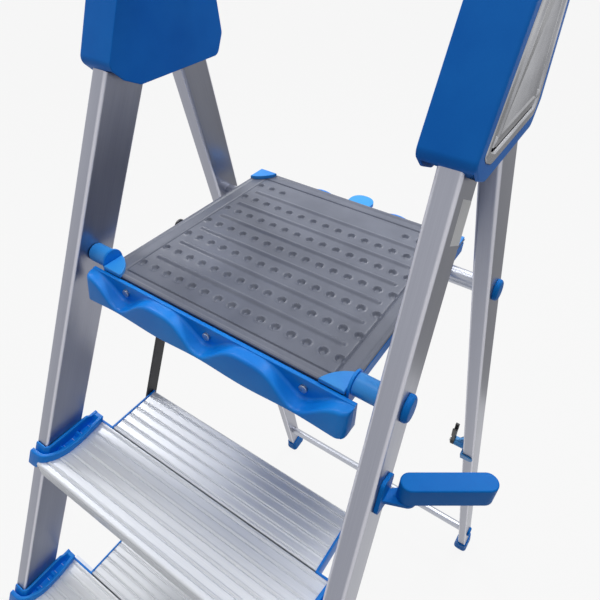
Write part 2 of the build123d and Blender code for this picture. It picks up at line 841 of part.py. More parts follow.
# Stays: flat bars hung on the platform, which stand on a stud at each end of the top step
stay_inner = rear_plank_half + trim_thickness + stay_gap
stay_outer = stay_inner + stay_thickness
stay_pin_n = stay_crank_depth * front_cos + stay_crank_drop * front_sin
stay_pin_u = stay_crank_depth * front_sin - stay_crank_drop * front_cos
stay_stud_z = -step_pitch - stay_stud_drop
stay_stud_u = stay_pin_u - (stay_z - stay_stud_z) / front_cos
stay_foot_u = stay_stud_u + stay_stud_diameter / 2 + stay_stud_gap
with BuildPart() as stay_bar:
    with BuildSketch(lean_plane(stay_inner)):
        with Locations((stay_pin_n, (stay_pin_u + stay_foot_u) / 2)):
            Rectangle(stay_width, stay_pin_u - stay_foot_u)
        with Locations((stay_pin_n, stay_pin_u)):
            Circle(stay_width / 2)
            Circle(stay_pin_diameter / 2 + running_fit, mode=Mode.SUBTRACT)
    extrude(amount=stay_thickness)
save_pair(stay_bar.part, "stay_bar")

with BuildPart() as stay_pin:
    head_inner = stay_outer + stay_head_gap
    with BuildSketch(side_plane(deck_half)):
        with Locations((stay_y, stay_z)):
            Circle(stay_pin_diameter / 2)
    extrude(amount=head_inner - deck_half)
    with BuildSketch(side_plane(ear_outer)):
        with Locations((stay_y, stay_z)):
            Circle(stay_spacer_diameter / 2)
    extrude(amount=stay_inner - stay_head_gap - ear_outer)
    with BuildSketch(side_plane(head_inner)):
        with Locations((stay_y, stay_z)):
            Circle(stay_head_diameter / 2)
    extrude(amount=stay_head_height)
save(both_sides(stay_pin.part), "stay_pins")

with BuildPart() as stay_stud:
    with BuildSketch(lean_plane(rear_plank_half + trim_thickness)):
        with Locations((stay_pin_n, stay_stud_u)):
            Circle(stay_stud_diameter / 2)
    extrude(amount=stay_gap + stay_thickness)
save(both_sides(stay_stud.part), "stay_studs")

# Frame hinge: two plates on each front rail hold the pin, and the rear rail turns on it by its knuckle
outer_face = Plane(
    origin=front_pivot_plane.origin + front_pivot_plane.x_dir * (front_rail_width / 2),
    x_dir=front_pivot_plane.y_dir,
    z_dir=front_pivot_plane.x_dir,
)
hinge_x = front_half(hinge_z) + front_rail_width / 2
hinge_point = Vector(hinge_x, plate_front + hinge_y, platform_height + hinge_z)
hinge_axis = Plane(origin=(0, hinge_point.Y, hinge_point.Z), z_dir=(1, 0, 0))
hinge_on_face = outer_face.to_local_coords(hinge_point)
strap_length = hinge_plate_below + hinge_plate_above
with BuildPart() as hinge_plates:
    for offset_out, thickness in ((0, outer_plate_thickness), (-front_rail_width, -inner_plate_thickness)):
        with BuildSketch(outer_face.offset(offset_out)):
            with Locations((0, hinge_on_face.Y + (hinge_plate_above - hinge_plate_below) / 2)):
                RectangleRounded(hinge_plate_width, strap_length, hinge_plate_corner)
            with Locations((hinge_on_face.X / 2, hinge_on_face.Y)):
                Rectangle(hinge_on_face.X, 2 * hinge_lobe_radius)
            with Locations((hinge_on_face.X, hinge_on_face.Y)):
                Circle(hinge_lobe_radius)
        extrude(amount=thickness)
    with BuildSketch(hinge_axis):
        Circle(hinge_pin_diameter / 2 + pin_seat)
    extrude(amount=2 * hinge_x, mode=Mode.SUBTRACT)
save_pair(hinge_plates.part, "hinge_plates")

hinge_pin_start = hinge_x - front_rail_width / 2 - inner_plate_thickness - hinge_pin_over
hinge_pin_end = hinge_x + front_rail_width / 2 + outer_plate_thickness + hinge_pin_over
with BuildPart() as hinge_pin:
    with BuildSketch(hinge_axis.offset(hinge_pin_start)):
        Circle(hinge_pin_diameter / 2)
    extrude(amount=hinge_pin_end - hinge_pin_start)
    chamfer(hinge_pin.edges().filter_by(GeomType.CIRCLE), length=hinge_pin_over / 2)
save(both_sides(hinge_pin.part), "hinge_pins")

plug_shrink = 2 * (rail_wall + rail_fit)
with BuildPart() as hinge_knuckle:
    with BuildSketch(rear_lean_plane(hinge_x - knuckle_width / 2)):
        Circle(knuckle_radius)
        Rectangle(2 * knuckle_radius, rear_rail_short, align=(Align.CENTER, Align.MAX))
    extrude(amount=knuckle_width)
    with BuildSketch(rear_hinge_plane.offset(knuckle_neck - rear_rail_short)):
        RectangleRounded(rear_rail_width - plug_shrink, rear_rail_depth - plug_shrink,
                         rail_corner - rail_wall)
    extrude(amount=-knuckle_plug)
    with BuildSketch(hinge_axis):
        Circle(hinge_pin_diameter / 2 + running_fit)
    extrude(amount=2 * hinge_x, mode=Mode.SUBTRACT)
save_pair(hinge_knuckle.part, "hinge_knuckle")

# Cross tube between the front rails at the top
top_height = pivot_rise + top_tube_along * front_cos
top_y = pivot_from_plate + top_tube_along * front_sin
top_inner = inner_face(top_height)
with BuildPart() as top_rail:
    with BuildSketch(side_plane(0)):
        with Locations((top_y, top_height)):
            Circle(top_tube_diameter / 2)
            Circle(top_tube_diameter / 2 - rung_wall, mode=Mode.SUBTRACT)
    extrude(amount=front_half_gap, both=True)
    split(bisect_by=top_inner, keep=Keep.BOTTOM)
    split(bisect_by=mirrored(top_inner), keep=Keep.BOTTOM)
save(top_rail.part, "top_rail")

# Top caps: shells over both rails, open below, with a ribbed metal plate in the outer side
cover_tongue_along = hinge_along - cover_tongue_below
cover_back_head = hinge_along - cover_back_head_below
cover_top_along = hinge_along + cover_top_above
rail_face = front_rail_depth / 2 + rail_fit
with BuildSketch() as cover_outline:
    with BuildLine():
        Polyline(
            (-cover_front, hinge_along - cover_toe_below),
            (-cover_tongue_front, cover_tongue_along),
            (cover_tongue_back, cover_tongue_along),
            (cover_back, hinge_along - cover_back_foot_below),
            (cover_back, cover_back_head),
            (cover_top_back, cover_top_along),
            (-cover_top_front, cover_top_along),
            (-cover_front, hinge_along + cover_shoulder_above),
            close=True,
        )
    make_face()
    fillet(cover_outline.vertices(), radius=cover_round)
with BuildSketch() as window_outline:
    add(cover_outline.sketch)
    offset(amount=-window_margin, mode=Mode.REPLACE)

with BuildPart() as top_cap:
    with BuildSketch(lean_plane(cover_inner_x)):
        add(cover_outline.sketch)
    extrude(amount=cover_width)
    fillet(top_cap.faces().sort_by(Axis.X)[-1].edges(), radius=cover_edge_round)
    cavity_low = cover_tongue_along - cover_wall
    cavity_top = rail_top_along + cover_head_gap
    with BuildSketch(lean_plane(cover_inner_x + cover_wall)):
        with BuildLine():
            Polyline(
                (-rail_face, cavity_low),
                (cover_back - cover_wall, cavity_low),
                (cover_back - cover_wall, cover_back_head),
                (cover_top_back - cover_wall, cavity_top),
                (-rail_face, cavity_top),
                close=True,
            )
        make_face()
    extrude(amount=cover_width - 2 * cover_wall, mode=Mode.SUBTRACT)
    with BuildSketch(side_plane(cover_inner_x)):
        with Locations((top_y, top_height)):
            Circle(top_tube_diameter / 2 + rail_fit)
    extrude(amount=cover_wall, mode=Mode.SUBTRACT)
    with BuildSketch(lean_plane(cover_outer_x)):
        add(window_outline.sketch)
    extrude(amount=-side_plate_thickness, mode=Mode.SUBTRACT)
save_pair(top_cap.part, "top_cap")

with BuildPart() as side_plate:
    with BuildSketch(lean_plane(cover_outer_x - side_plate_thickness)):
        add(window_outline.sketch)
        offset(amount=-side_plate_gap, mode=Mode.REPLACE)
    extrude(amount=side_plate_thickness - side_rib_rise)
    with BuildSketch(lean_plane(cover_outer_x - side_rib_rise)):
        add(window_outline.sketch)
        offset(amount=-side_plate_gap - side_rib_width, mode=Mode.REPLACE)
        with Locations((hinge_behind, hinge_along)):
            with GridLocations(side_rib_pitch, 0, 2 * int(cover_back / side_rib_pitch), 1):
                Rectangle(side_rib_pitch - side_rib_width, 2 * cover_top_along, mode=Mode.SUBTRACT)
    extrude(amount=side_rib_rise)
save_pair(side_plate.part, "top_cap_plate")

# Side hook: an arm that swivels on an upright pin beside the right front rail
hook_middle = -hook_drop - hook_thickness / 2
hook_seat = -hook_drop - hook_thickness - hook_gap
hook_rail = front_rail_plane(hook_seat)
hook_face = Plane(
    origin=hook_rail.origin + hook_rail.x_dir * (front_rail_width / 2),
    x_dir=hook_rail.y_dir,
    z_dir=hook_rail.x_dir,
)
hook_x = front_half(hook_middle) + front_rail_width + hook_stand_off
hook_y = front_line + front_slope * hook_middle + hook_behind / front_cos
hook_middle_x = hook_x + hook_reach / 2 * cos(radians(hook_turn))
hook_middle_y = hook_y + hook_reach / 2 * sin(radians(hook_turn))
hook_hub_radius = hook_pin_diameter / 2 + hook_wall
with BuildSketch() as hook_outline:
    with Locations((hook_middle_x, hook_middle_y)):
        SlotCenterToCenter(hook_reach, 2 * hook_radius, rotation=hook_turn)
hook_pin_top = -hook_drop - hook_wall
with BuildPart() as side_hook_arm:
    with BuildSketch(deck.offset(-hook_drop)):
        add(hook_outline.sketch)
    extrude(amount=-hook_thickness)
    fillet(side_hook_arm.faces().sort_by(Axis.Z)[-1].edges(), radius=hook_edge_round)
    with BuildSketch(deck.offset(-hook_drop - hook_thickness)):
        add(hook_outline.sketch)
        offset(amount=-hook_wall, mode=Mode.REPLACE)
        with Locations((hook_x, hook_y)):
            Circle(hook_hub_radius, mode=Mode.SUBTRACT)
    extrude(amount=hook_thickness - 2 * hook_wall, mode=Mode.SUBTRACT)
    with BuildSketch(deck.offset(hook_pin_top)):
        with Locations((hook_x, hook_y)):
            Circle(hook_pin_diameter / 2 + running_fit)
    extrude(amount=-hook_thickness, mode=Mode.SUBTRACT)
save(side_hook_arm.part, "side_hook_arm")

with BuildPart() as side_hook_bracket:
    with BuildSketch(hook_face):
        RectangleRounded(hook_bracket_width, hook_bracket_length, hook_bracket_corner)
    extrude(amount=hook_bracket_thickness)
    plate_x = front_half(hook_seat) + front_rail_width + hook_bracket_thickness / 2
    with BuildSketch(deck.offset(hook_seat)):
        with Locations((hook_x, hook_y)):
            Circle(hook_radius)
        with Locations((plate_x, front_line + front_slope * hook_seat)):
            Rectangle(hook_bracket_thickness / 2, hook_bracket_width / 2, align=(Align.MIN, Align.CENTER))
        make_hull()
        with Locations((hook_x, hook_y)):
            Circle(hook_pin_diameter / 2 + pin_seat, mode=Mode.SUBTRACT)
    extrude(amount=-hook_ear)
save(side_hook_bracket.part, "side_hook_bracket")

with BuildPart() as side_hook_pin:
    with BuildSketch(deck.offset(hook_seat - hook_ear)):
        with Locations((hook_x, hook_y)):
            Circle(hook_pin_diameter / 2)
    extrude(amount=hook_pin_top - hook_gap - hook_seat + hook_ear)
    with BuildSketch(deck.offset(hook_seat - hook_ear)):
        with Locations((hook_x, hook_y)):
            Circle(hook_head_diameter / 2)
    extrude(amount=-hook_head_height)
save(side_hook_pin.part, "side_hook_pin")

# Transport latch: a forked hook on a boss, whose bracket grips the right rear rail from inside and in front
latch_rail = rear_rail_plane(-latch_drop)
latch_face = Plane(
    origin=latch_rail.origin - latch_rail.x_dir * (rear_rail_width / 2),
    x_dir=latch_rail.y_dir,
    z_dir=-latch_rail.x_dir,
)
latch_x = rear_half(-latch_drop) - latch_inset
latch_along = -(hinge_z + latch_drop) / rear_cos
latch_fork_top = latch_along + latch_up
latch_hole = Plane(
    origin=(latch_x, plate_front + rear_line + rear_slope * latch_drop, platform_height - latch_drop),
    z_dir=(1, 0, 0),
)
latch_front = Plane(
    origin=latch_rail.origin - latch_rail.y_dir * (rear_rail_depth / 2),
    x_dir=latch_rail.x_dir,
    z_dir=-latch_rail.y_dir,
)
latch_side = rear_half(-latch_drop) - latch_bracket_thickness / 2
latch_rise = latch_gusset - latch_drop
with BuildPart() as latch_bracket:
    with BuildSketch(latch_face):
        RectangleRounded(latch_bracket_width, latch_bracket_height, latch_bracket_corner)
        Rectangle(rear_rail_depth / 2 + latch_lobe_thickness, latch_lobe_diameter,
                  align=(Align.MAX, Align.CENTER))
    extrude(amount=latch_bracket_thickness)
    with BuildSketch(latch_front):
        Circle(latch_lobe_diameter / 2)
        Rectangle(rear_rail_width / 2 + latch_bracket_thickness, latch_lobe_diameter,
                  align=(Align.MAX, Align.CENTER))
    extrude(amount=latch_lobe_thickness)
    with BuildSketch(front_plane(rear_line + rear_slope * latch_drop)):
        Polygon((latch_x, -latch_drop), (latch_side, -latch_drop),
                (latch_side - rear_splay * latch_gusset, latch_rise), align=None)
    extrude(amount=latch_gusset_width / 2, both=True)
    with BuildSketch(latch_hole):
        Circle(latch_boss_diameter / 2)
    extrude(amount=latch_inset - latch_bracket_thickness / 2)
    with BuildSketch(latch_hole):
        Circle(latch_pin_diameter / 2 + pin_seat)
    extrude(amount=latch_pin_seat, mode=Mode.SUBTRACT)
save(latch_bracket.part, "latch_bracket")

with BuildPart() as latch_hook:
    with BuildSketch(rear_lean_plane(latch_x - latch_gap - latch_thickness)):
        with Locations((0, latch_along)):
            Circle(latch_boss_diameter / 2)
        with Locations((0, latch_along + (latch_up - latch_down) / 2)):
            RectangleRounded(latch_width, latch_up + latch_down, latch_corner)
        with Locations((0, latch_fork_top - latch_fork_height / 2)):
            RectangleRounded(latch_fork_width, latch_fork_height, latch_corner)
        tine_out = -latch_fork_width / 2
        tine_foot = latch_fork_top - latch_corner
        tine_head = latch_fork_top + latch_tine
        Polygon((tine_out, tine_foot), (-latch_mouth / 2, tine_foot), (tine_out + latch_tine_tip, tine_head),
                (tine_out, tine_head), align=None)
        with Locations((0, latch_fork_top)):
            Rectangle(latch_mouth, latch_mouth_depth, align=(Align.CENTER, Align.MAX), mode=Mode.SUBTRACT)
        with Locations((0, latch_fork_top - latch_mouth_depth)):
            Circle(latch_mouth / 2, mode=Mode.SUBTRACT)
        with Locations((0, latch_along)):
            Circle(latch_pin_diameter / 2 + running_fit, mode=Mode.SUBTRACT)
    extrude(amount=latch_thickness)
save(latch_hook.part, "latch_hook")

with BuildPart() as latch_pin:
    latch_reach = latch_thickness + 2 * latch_gap
    with BuildSketch(latch_hole.offset(latch_pin_seat)):
        Circle(latch_pin_diameter / 2)
    extrude(amount=-latch_pin_seat - latch_reach)
    with BuildSketch(latch_hole.offset(-latch_reach)):
        Circle(latch_head_diameter / 2)
    extrude(amount=-latch_head_height)
save(latch_pin.part, "latch_pin")
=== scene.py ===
import json
from math import radians

import bmesh
import bpy
import numpy as np
from mathutils import Matrix, Vector


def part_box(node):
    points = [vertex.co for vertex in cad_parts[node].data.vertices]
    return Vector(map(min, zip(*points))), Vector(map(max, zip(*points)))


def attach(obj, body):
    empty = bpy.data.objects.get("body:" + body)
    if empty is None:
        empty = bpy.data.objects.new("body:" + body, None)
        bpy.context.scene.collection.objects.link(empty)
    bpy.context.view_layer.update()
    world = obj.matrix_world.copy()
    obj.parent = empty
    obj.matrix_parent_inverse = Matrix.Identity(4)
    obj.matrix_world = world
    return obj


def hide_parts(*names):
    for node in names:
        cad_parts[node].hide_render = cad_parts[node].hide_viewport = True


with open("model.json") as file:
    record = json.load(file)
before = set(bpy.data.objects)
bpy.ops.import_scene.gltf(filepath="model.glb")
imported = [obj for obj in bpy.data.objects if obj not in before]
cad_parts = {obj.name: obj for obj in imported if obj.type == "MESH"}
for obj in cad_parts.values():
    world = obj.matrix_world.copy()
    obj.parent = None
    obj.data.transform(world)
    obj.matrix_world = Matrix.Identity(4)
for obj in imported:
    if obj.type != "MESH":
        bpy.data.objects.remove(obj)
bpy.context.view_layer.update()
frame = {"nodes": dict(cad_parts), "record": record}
nodes = frame["nodes"]
bodyOf = {name: body for body, names in frame["record"]["behaviour"]["bodies"].items() for name in names}
print("frame:", len(nodes), "CAD nodes")


def colour(hexText):
    # sRGB hex to the linear values that the sockets take
    srgb = np.array([int(hexText[i:i + 2], 16) for i in (1, 3, 5)]) / 255
    linear = np.where(srgb <= 0.04045, srgb / 12.92, ((srgb + 0.055) / 1.055) ** 2.4)
    return (*(float(v) for v in linear), 1.0)


def addNode(tree, kind, settings=None, inputs=None):
    # one node with its settings, and a value or a link on each input named
    made = tree.nodes.new(kind)
    for key, value in (settings or {}).items():
        setattr(made, key, value)
    for key, value in (inputs or {}).items():
        if isinstance(value, bpy.types.NodeSocket):
            tree.links.new(value, made.inputs[key])
        else:
            made.inputs[key].default_value = value
    return made


def startMaterial(name):
    made = bpy.data.materials.new(name)
    made.use_nodes = True
    tree = made.node_tree
    shader = tree.nodes["Principled BSDF"]
    place = addNode(tree, "ShaderNodeTexCoord").outputs["Object"]
    return made, tree, shader, place


def perMm(size):
    # texture scale for a grain of that many millimetres, on coordinates in metres
    return 1000 / size


# Extruded aluminium: the die leaves fine lines along the bar, which stretch the sheen, and the corners get a painted
# highlight
aluminiumLook = {"lineWidth": 0.9, "lineStretch": 0.988, "lineShare": 0.45, "lineFrom": 0.25, "lineTo": 0.75,
                 "lineBump": 0.35, "lift": 0.00002, "cloud": 60, "shadeFrom": 0.45, "shadeTo": 1.0, "roughDrift": 0.05,
                 "edgeHighlightStart": 0.0036, "edgeHighlightEnd": 0.001, "edgeHighlightTone": "#F0F0FA", "edgeHighlightMatt": 0.65}


def extrudedAluminium(name, along, dark, light, roughness, metallic, section=None):
    # noise on coordinates squeezed along the bar: point minus most of its part along the bar
    look = aluminiumLook
    made, tree, shader, place = startMaterial(name)
    along = Vector(along).normalized()
    part = addNode(tree, "ShaderNodeVectorMath", {"operation": "DOT_PRODUCT"}, {0: place, 1: along})
    squeeze = addNode(tree, "ShaderNodeVectorMath", {"operation": "SCALE"},
                      {0: along * look["lineStretch"], "Scale": part.outputs["Value"]})
    flat = addNode(tree, "ShaderNodeVectorMath", {"operation": "SUBTRACT"},
                   {0: place, 1: squeeze.outputs["Vector"]}).outputs["Vector"]
    lines = addNode(tree, "ShaderNodeTexNoise", None,
                    {"Vector": flat, "Scale": perMm(look["lineWidth"]), "Detail": 3.0}).outputs["Fac"]
    cloud = addNode(tree, "ShaderNodeTexNoise", None,
                    {"Vector": flat, "Scale": perMm(look["cloud"]), "Detail": 2.0}).outputs["Fac"]
    both = addNode(tree, "ShaderNodeMath", {"operation": "MULTIPLY_ADD"},
                   {0: lines, 1: look["lineShare"], 2: cloud})
    shade = addNode(tree, "ShaderNodeMapRange", None,
                    {"Value": both.outputs["Value"], "From Min": look["shadeFrom"], "From Max": look["shadeTo"]})
    tone = addNode(tree, "ShaderNodeMix", {"data_type": "RGBA"},
                   {0: shade.outputs["Result"], 6: colour(dark), 7: colour(light)}).outputs[2]
    rough = addNode(tree, "ShaderNodeMapRange", None,
                    {"Value": lines, "From Min": look["lineFrom"], "From Max": look["lineTo"],
                     "To Min": roughness - look["roughDrift"], "To Max": roughness + look["roughDrift"]})
    bump = addNode(tree, "ShaderNodeBump", None,
                   {"Height": lines, "Strength": look["lineBump"], "Distance": look["lift"]})
    shader.inputs["Metallic"].default_value = metallic
    if section:
        # painted highlight on the corners: 1 where the point is near the edge of the section both ways; there the
        # colour turns pale and less metallic
        shares = []
        for way, middle, half in section:
            out = addNode(tree, "ShaderNodeVectorMath", {"operation": "DOT_PRODUCT"}, {0: place, 1: way})
            shifted = addNode(tree, "ShaderNodeMath", {"operation": "SUBTRACT"},
                              {0: out.outputs["Value"], 1: middle})
            size = addNode(tree, "ShaderNodeMath", {"operation": "ABSOLUTE"}, {0: shifted.outputs["Value"]})
            near = addNode(tree, "ShaderNodeMapRange", {"interpolation_type": "SMOOTHSTEP"},
                           {"Value": size.outputs["Value"], "From Min": half - look["edgeHighlightStart"],
                            "From Max": half - look["edgeHighlightEnd"]})
            shares.append(near.outputs["Result"])
        edgeHighlight = addNode(tree, "ShaderNodeMath", {"operation": "MULTIPLY"},
                      {0: shares[0], 1: shares[1]}).outputs["Value"]
        tone = addNode(tree, "ShaderNodeMix", {"data_type": "RGBA"},
                       {0: edgeHighlight, 6: tone, 7: colour(look["edgeHighlightTone"])}).outputs[2]
        matt = addNode(tree, "ShaderNodeMath", {"operation": "MULTIPLY_ADD"},
                       {0: edgeHighlight, 1: -look["edgeHighlightMatt"], 2: metallic})
        tree.links.new(matt.outputs["Value"], shader.inputs["Metallic"])
    tree.links.new(tone, shader.inputs["Base Color"])
    tree.links.new(rough.outputs["Result"], shader.inputs["Roughness"])
    tree.links.new(bump.outputs["Normal"], shader.inputs["Normal"])
    return made


# Moulded plastic: the tool's fine spark texture, slow colour drift and a soft sheen
plasticLook = {"drift": 45, "sparkShare": 0.35, "shadeFrom": 0.45, "shadeTo": 0.9,
               "sparkFrom": 0.3, "sparkTo": 0.7, "sparkBump": 0.4, "roughDrift": 0.06}


def mouldedPlastic(name, dark, light, roughness, grain=0.9, lift=0.00003, specular=0.5):
    look = plasticLook
    made, tree, shader, place = startMaterial(name)
    drift = addNode(tree, "ShaderNodeTexNoise", None,
                    {"Vector": place, "Scale": perMm(look["drift"]), "Detail": 3.0}).outputs["Fac"]
    spark = addNode(tree, "ShaderNodeTexNoise", None,
                    {"Vector": place, "Scale": perMm(grain), "Detail": 2.0, "Roughness": 0.6}).outputs["Fac"]
    blend = addNode(tree, "ShaderNodeMath", {"operation": "MULTIPLY_ADD"},
                    {0: spark, 1: look["sparkShare"], 2: drift})
    share = addNode(tree, "ShaderNodeMapRange", None,
                    {"Value": blend.outputs["Value"], "From Min": look["shadeFrom"], "From Max": look["shadeTo"]})
    tint = addNode(tree, "ShaderNodeMix", {"data_type": "RGBA"},
                   {0: share.outputs["Result"], 6: colour(dark), 7: colour(light)})
    rough = addNode(tree, "ShaderNodeMapRange", None,
                    {"Value": spark, "From Min": look["sparkFrom"], "From Max": look["sparkTo"],
                     "To Min": roughness - look["roughDrift"], "To Max": roughness + look["roughDrift"]})
    bump = addNode(tree, "ShaderNodeBump", None,
                   {"Height": spark, "Strength": look["sparkBump"], "Distance": lift})
    shader.inputs["Specular IOR Level"].default_value = specular
    tree.links.new(tint.outputs[2], shader.inputs["Base Color"])
    tree.links.new(rough.outputs["Result"], shader.inputs["Roughness"])
    tree.links.new(bump.outputs["Normal"], shader.inputs["Normal"])
    return made


# Plated, coated and cast metal: even grain with faint blotches
def grainedMetal(name, dark, light, roughness, metallic, grain, lift):
    made = mouldedPlastic(name, dark, light, roughness, grain, lift)
    made.node_tree.nodes["Principled BSDF"].inputs["Metallic"].default_value = metallic
    return made


def points(node):
    # a CAD node's vertices as an array
    flat = np.empty(3 * len(nodes[node].data.vertices))
    nodes[node].data.vertices.foreach_get("co", flat)
    return flat.reshape(-1, 3)


def runOf(node):
    # a bar's direction: the middle direction of its long edges, all turned upwards
    ends = np.empty(2 * len(nodes[node].data.edges), int)
    nodes[node].data.edges.foreach_get("vertices", ends)
    ways = np.diff(points(node)[ends.reshape(-1, 2)], axis=1)[:, 0]
    length = np.linalg.norm(ways, axis=1)
    ways = (ways / length[:, None])[length > 0.5 * length.max()]
    return np.median(ways * np.where(ways[:, 2:] < 0, -1, 1), axis=0)


def sectionOf(node):
    # a rail's two directions across its run, each with the middle and half of its reach
    run = Vector(runOf(node)).normalized()
    across = (Vector((1, 0, 0)) - run * run.x).normalized()
    found = []
    for way in (across, run.cross(across)):
        reach = points(node) @ np.array(way)
        found.append((way, float(reach.max() + reach.min()) / 2, float(reach.max() - reach.min()) / 2))
    return found


railTint = {"dark": "#8F919D", "light": "#A2A4AF", "roughness": 0.34, "metallic": 1.0}
tubeTint = {"dark": "#ACAFB9", "light": "#C0C3CC", "roughness": 0.34, "metallic": 1.0}
stepTint = {"dark": "#D6DAE2", "light": "#F0F2F5", "roughness": 0.42, "metallic": 0.3}
rails = [f"{end}_rail_{side}" for end in ("front", "rear") for side in ("left", "right")]
finishes = {
    # satin grey with streaks along the rail and a painted highlight on the corners
    **{rail: extrudedAluminium(f"satin_extruded_aluminium_{rail}", runOf(rail), **railTint,
                               section=sectionOf(rail)) for rail in rails},
    # pale, nearly white treads with a dull sheen
    "step": extrudedAluminium("grooved_extruded_aluminium", (1, 0, 0), **stepTint),
    # brighter round tubes, streaked from side to side
    "tube": extrudedAluminium("drawn_aluminium_tube", (1, 0, 0), **tubeTint),
    # strong sky blue with a soft sheen on the crests
    "blue": mouldedPlastic("blue_moulded_polypropylene", "#007CE2", "#0C8EF0", 0.38, specular=0.3),
    # deeper, flat blue of the large caps
    "capBlue": mouldedPlastic("dark_blue_moulded_polypropylene", "#0E72D8", "#187EE2", 0.5, specular=0.15),
    # painted shade: a darker, nearly matt copy of the blue plastic, on the hook, end caps and boots
    "hookBlue": mouldedPlastic("dark_blue_plastic_painted_shade", "#066CC6", "#0E78D0", 0.46, specular=0.1),
    # painted highlight: a lighter copy of the blue plastic, for the sheen on the clips and bushes
    "paintedHighlightBlue": mouldedPlastic("blue_moulded_plastic_painted_highlight", "#1C8AE8", "#38A0F4", 0.36, specular=0.45),
    # painted highlight: a pale copy of the blue plastic, for the brightly lit latch bracket
    "paleHighlightBlue": mouldedPlastic("pale_blue_plastic_painted_highlight", "#3C98E4", "#56AAEE", 0.36, specular=0.4),
    # painted highlight: the lightest copy of the blue plastic, on the release lever's tab
    "lightestHighlightBlue": mouldedPlastic("light_blue_plastic_painted_highlight", "#2FA0F0", "#4DB2F6", 0.4, specular=0.35),
    # charcoal with a cool cast and a finer grain
    "tread": mouldedPlastic("charcoal_moulded_polypropylene", "#646978", "#747988", 0.36, 0.7, 0.00004),
    # near black, with a grey bloom
    "black": mouldedPlastic("black_moulded_nylon", "#121214", "#1E1E21", 0.45, 0.8, 0.00004),
    # black paint over flat bar
    "darkSteel": grainedMetal("black_coated_steel", "#2A2A2C", "#3A3A3D", 0.42, 0.35, 0.6, 0.00002),
    # pale film, left without print
    "label": mouldedPlastic("printed_vinyl_label_left_blank", "#EAEBEF", "#F4F5F7", 0.5, 1.2, 0.00001),
    # mid grey metal with a tight gloss
    "cast": grainedMetal("die_cast_aluminium", "#8E8F94", "#B2B3B8", 0.3, 1.0, 0.8, 0.000012),
    # small bright heads and pins
    "zinc": grainedMetal("zinc_plated_steel", "#A9AAAE", "#C2C3C6", 0.3, 1.0, 0.7, 0.00002),
}
print("finishes:", len(finishes))


def finishFor(node):
    # which finish a CAD node that keeps its own shape takes, by what it is; the lighter blues are painted highlight and
    # the darker one painted shade
    words = (
        ("end_trims", "blue"), ("top_cap", "capBlue"), ("end_caps", "hookBlue"), ("clips", "paintedHighlightBlue"),
        ("ledge_screws", "zinc"), ("ledge", "blue"), ("bushes", "paintedHighlightBlue"), ("deck_frame", "blue"),
        ("release_lever", "lightestHighlightBlue"), ("rung", "tube"), ("top_rail", "tube"), ("stay_bar", "darkSteel"),
        ("latch_bracket", "paleHighlightBlue"), ("latch_hook", "black"), ("hook_arm", "hookBlue"),
        ("hook_bracket", "hookBlue"), ("hinge_plates", "cast"), ("hinge_knuckle", "cast"),
    )
    if node in rails:
        return node
    return next((finish for word, finish in words if word in node), "zinc")


# Each CAD node as a welded copy; those with the finishes listed here also get rounded edges, as the moulds and dies
# leave no sharp corner. Sizes are in metres
edgeRound = {**{name: 0.0008 for name in ("blue", "capBlue", "hookBlue", "paintedHighlightBlue", "paleHighlightBlue", "lightestHighlightBlue")},
             "black": 0.0007, "darkSteel": 0.0004, "cast": 0.0003, "zinc": 0.0003}
edgeAngle = 32
trimSwell = 0.0007
weldGap = 0.000004
flatAngle = 0.6


def roundedCopy(node):
    finish = finishFor(node)
    body = bmesh.new()
    body.from_mesh(nodes[node].data)
    bmesh.ops.remove_doubles(body, verts=body.verts, dist=weldGap)
    bmesh.ops.dissolve_limit(body, angle_limit=radians(flatAngle), verts=body.verts, edges=body.edges)
    mesh = bpy.data.meshes.new(node + "_finished")
    body.to_mesh(mesh)
    body.free()
    mesh.shade_smooth()
    mesh.set_sharp_from_angle(angle=radians(edgeAngle))
    mesh.materials.append(finishes[finish])
    piece = bpy.data.objects.new(node + "_finished", mesh)
    bpy.context.scene.collection.objects.link(piece)
    if "end_trims" in node:
        swell = piece.modifiers.new("thicker", "DISPLACE")
        swell.strength = trimSwell
        swell.mid_level = 0
    if finish in edgeRound:
        bevel = piece.modifiers.new("edges", "BEVEL")
        bevel.width = edgeRound[finish]
        bevel.segments = 2
        bevel.limit_method = "ANGLE"
        bevel.angle_limit = radians(edgeAngle)
        bevel.use_clamp_overlap = False
        bevel.harden_normals = True
    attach(piece, bodyOf[node])
    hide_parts(node)
    return piece


# New pieces are set out in millimetres from the tread plate: X across, Y back from its front edge,
# Z from its top, which lies below the ribs of the CAD plate
plateLow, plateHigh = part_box("tread_plate")
cadRibRise = 0.001
plateOrigin = np.array([0.0, plateLow.y, plateHigh.z - cadRibRise])
mm = 0.001
pieceWeld = 0.005 * mm


def addPiece(name, places, faces, finish, body, replaced, smoothAngle=40):
    # puts an array of places in millimetres and an array of faces into a new piece
    mesh = bpy.data.meshes.new(name)
    mesh.from_pydata((places * mm + plateOrigin).tolist(), [], faces)
    work = bmesh.new()
    work.from_mesh(mesh)
    bmesh.ops.remove_doubles(work, verts=work.verts, dist=pieceWeld)
    for hand in (-1, 1):
        # open ends are filled flat, round any chambers
        rim = [edge for edge in work.edges if edge.is_boundary and edge.verts[0].co.x * hand > 0]
        if rim:
            bmesh.ops.triangle_fill(work, edges=rim, use_beauty=True)
    bmesh.ops.recalc_face_normals(work, faces=work.faces)
    work.to_mesh(mesh)
    work.free()
    mesh.shade_smooth()
    mesh.set_sharp_from_angle(angle=radians(smoothAngle))
    mesh.materials.append(finishes[finish])
    piece = bpy.data.objects.new(name, mesh)
    bpy.context.scene.collection.objects.link(piece)
    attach(piece, body)
    if replaced:
        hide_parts(*replaced)
    return piece


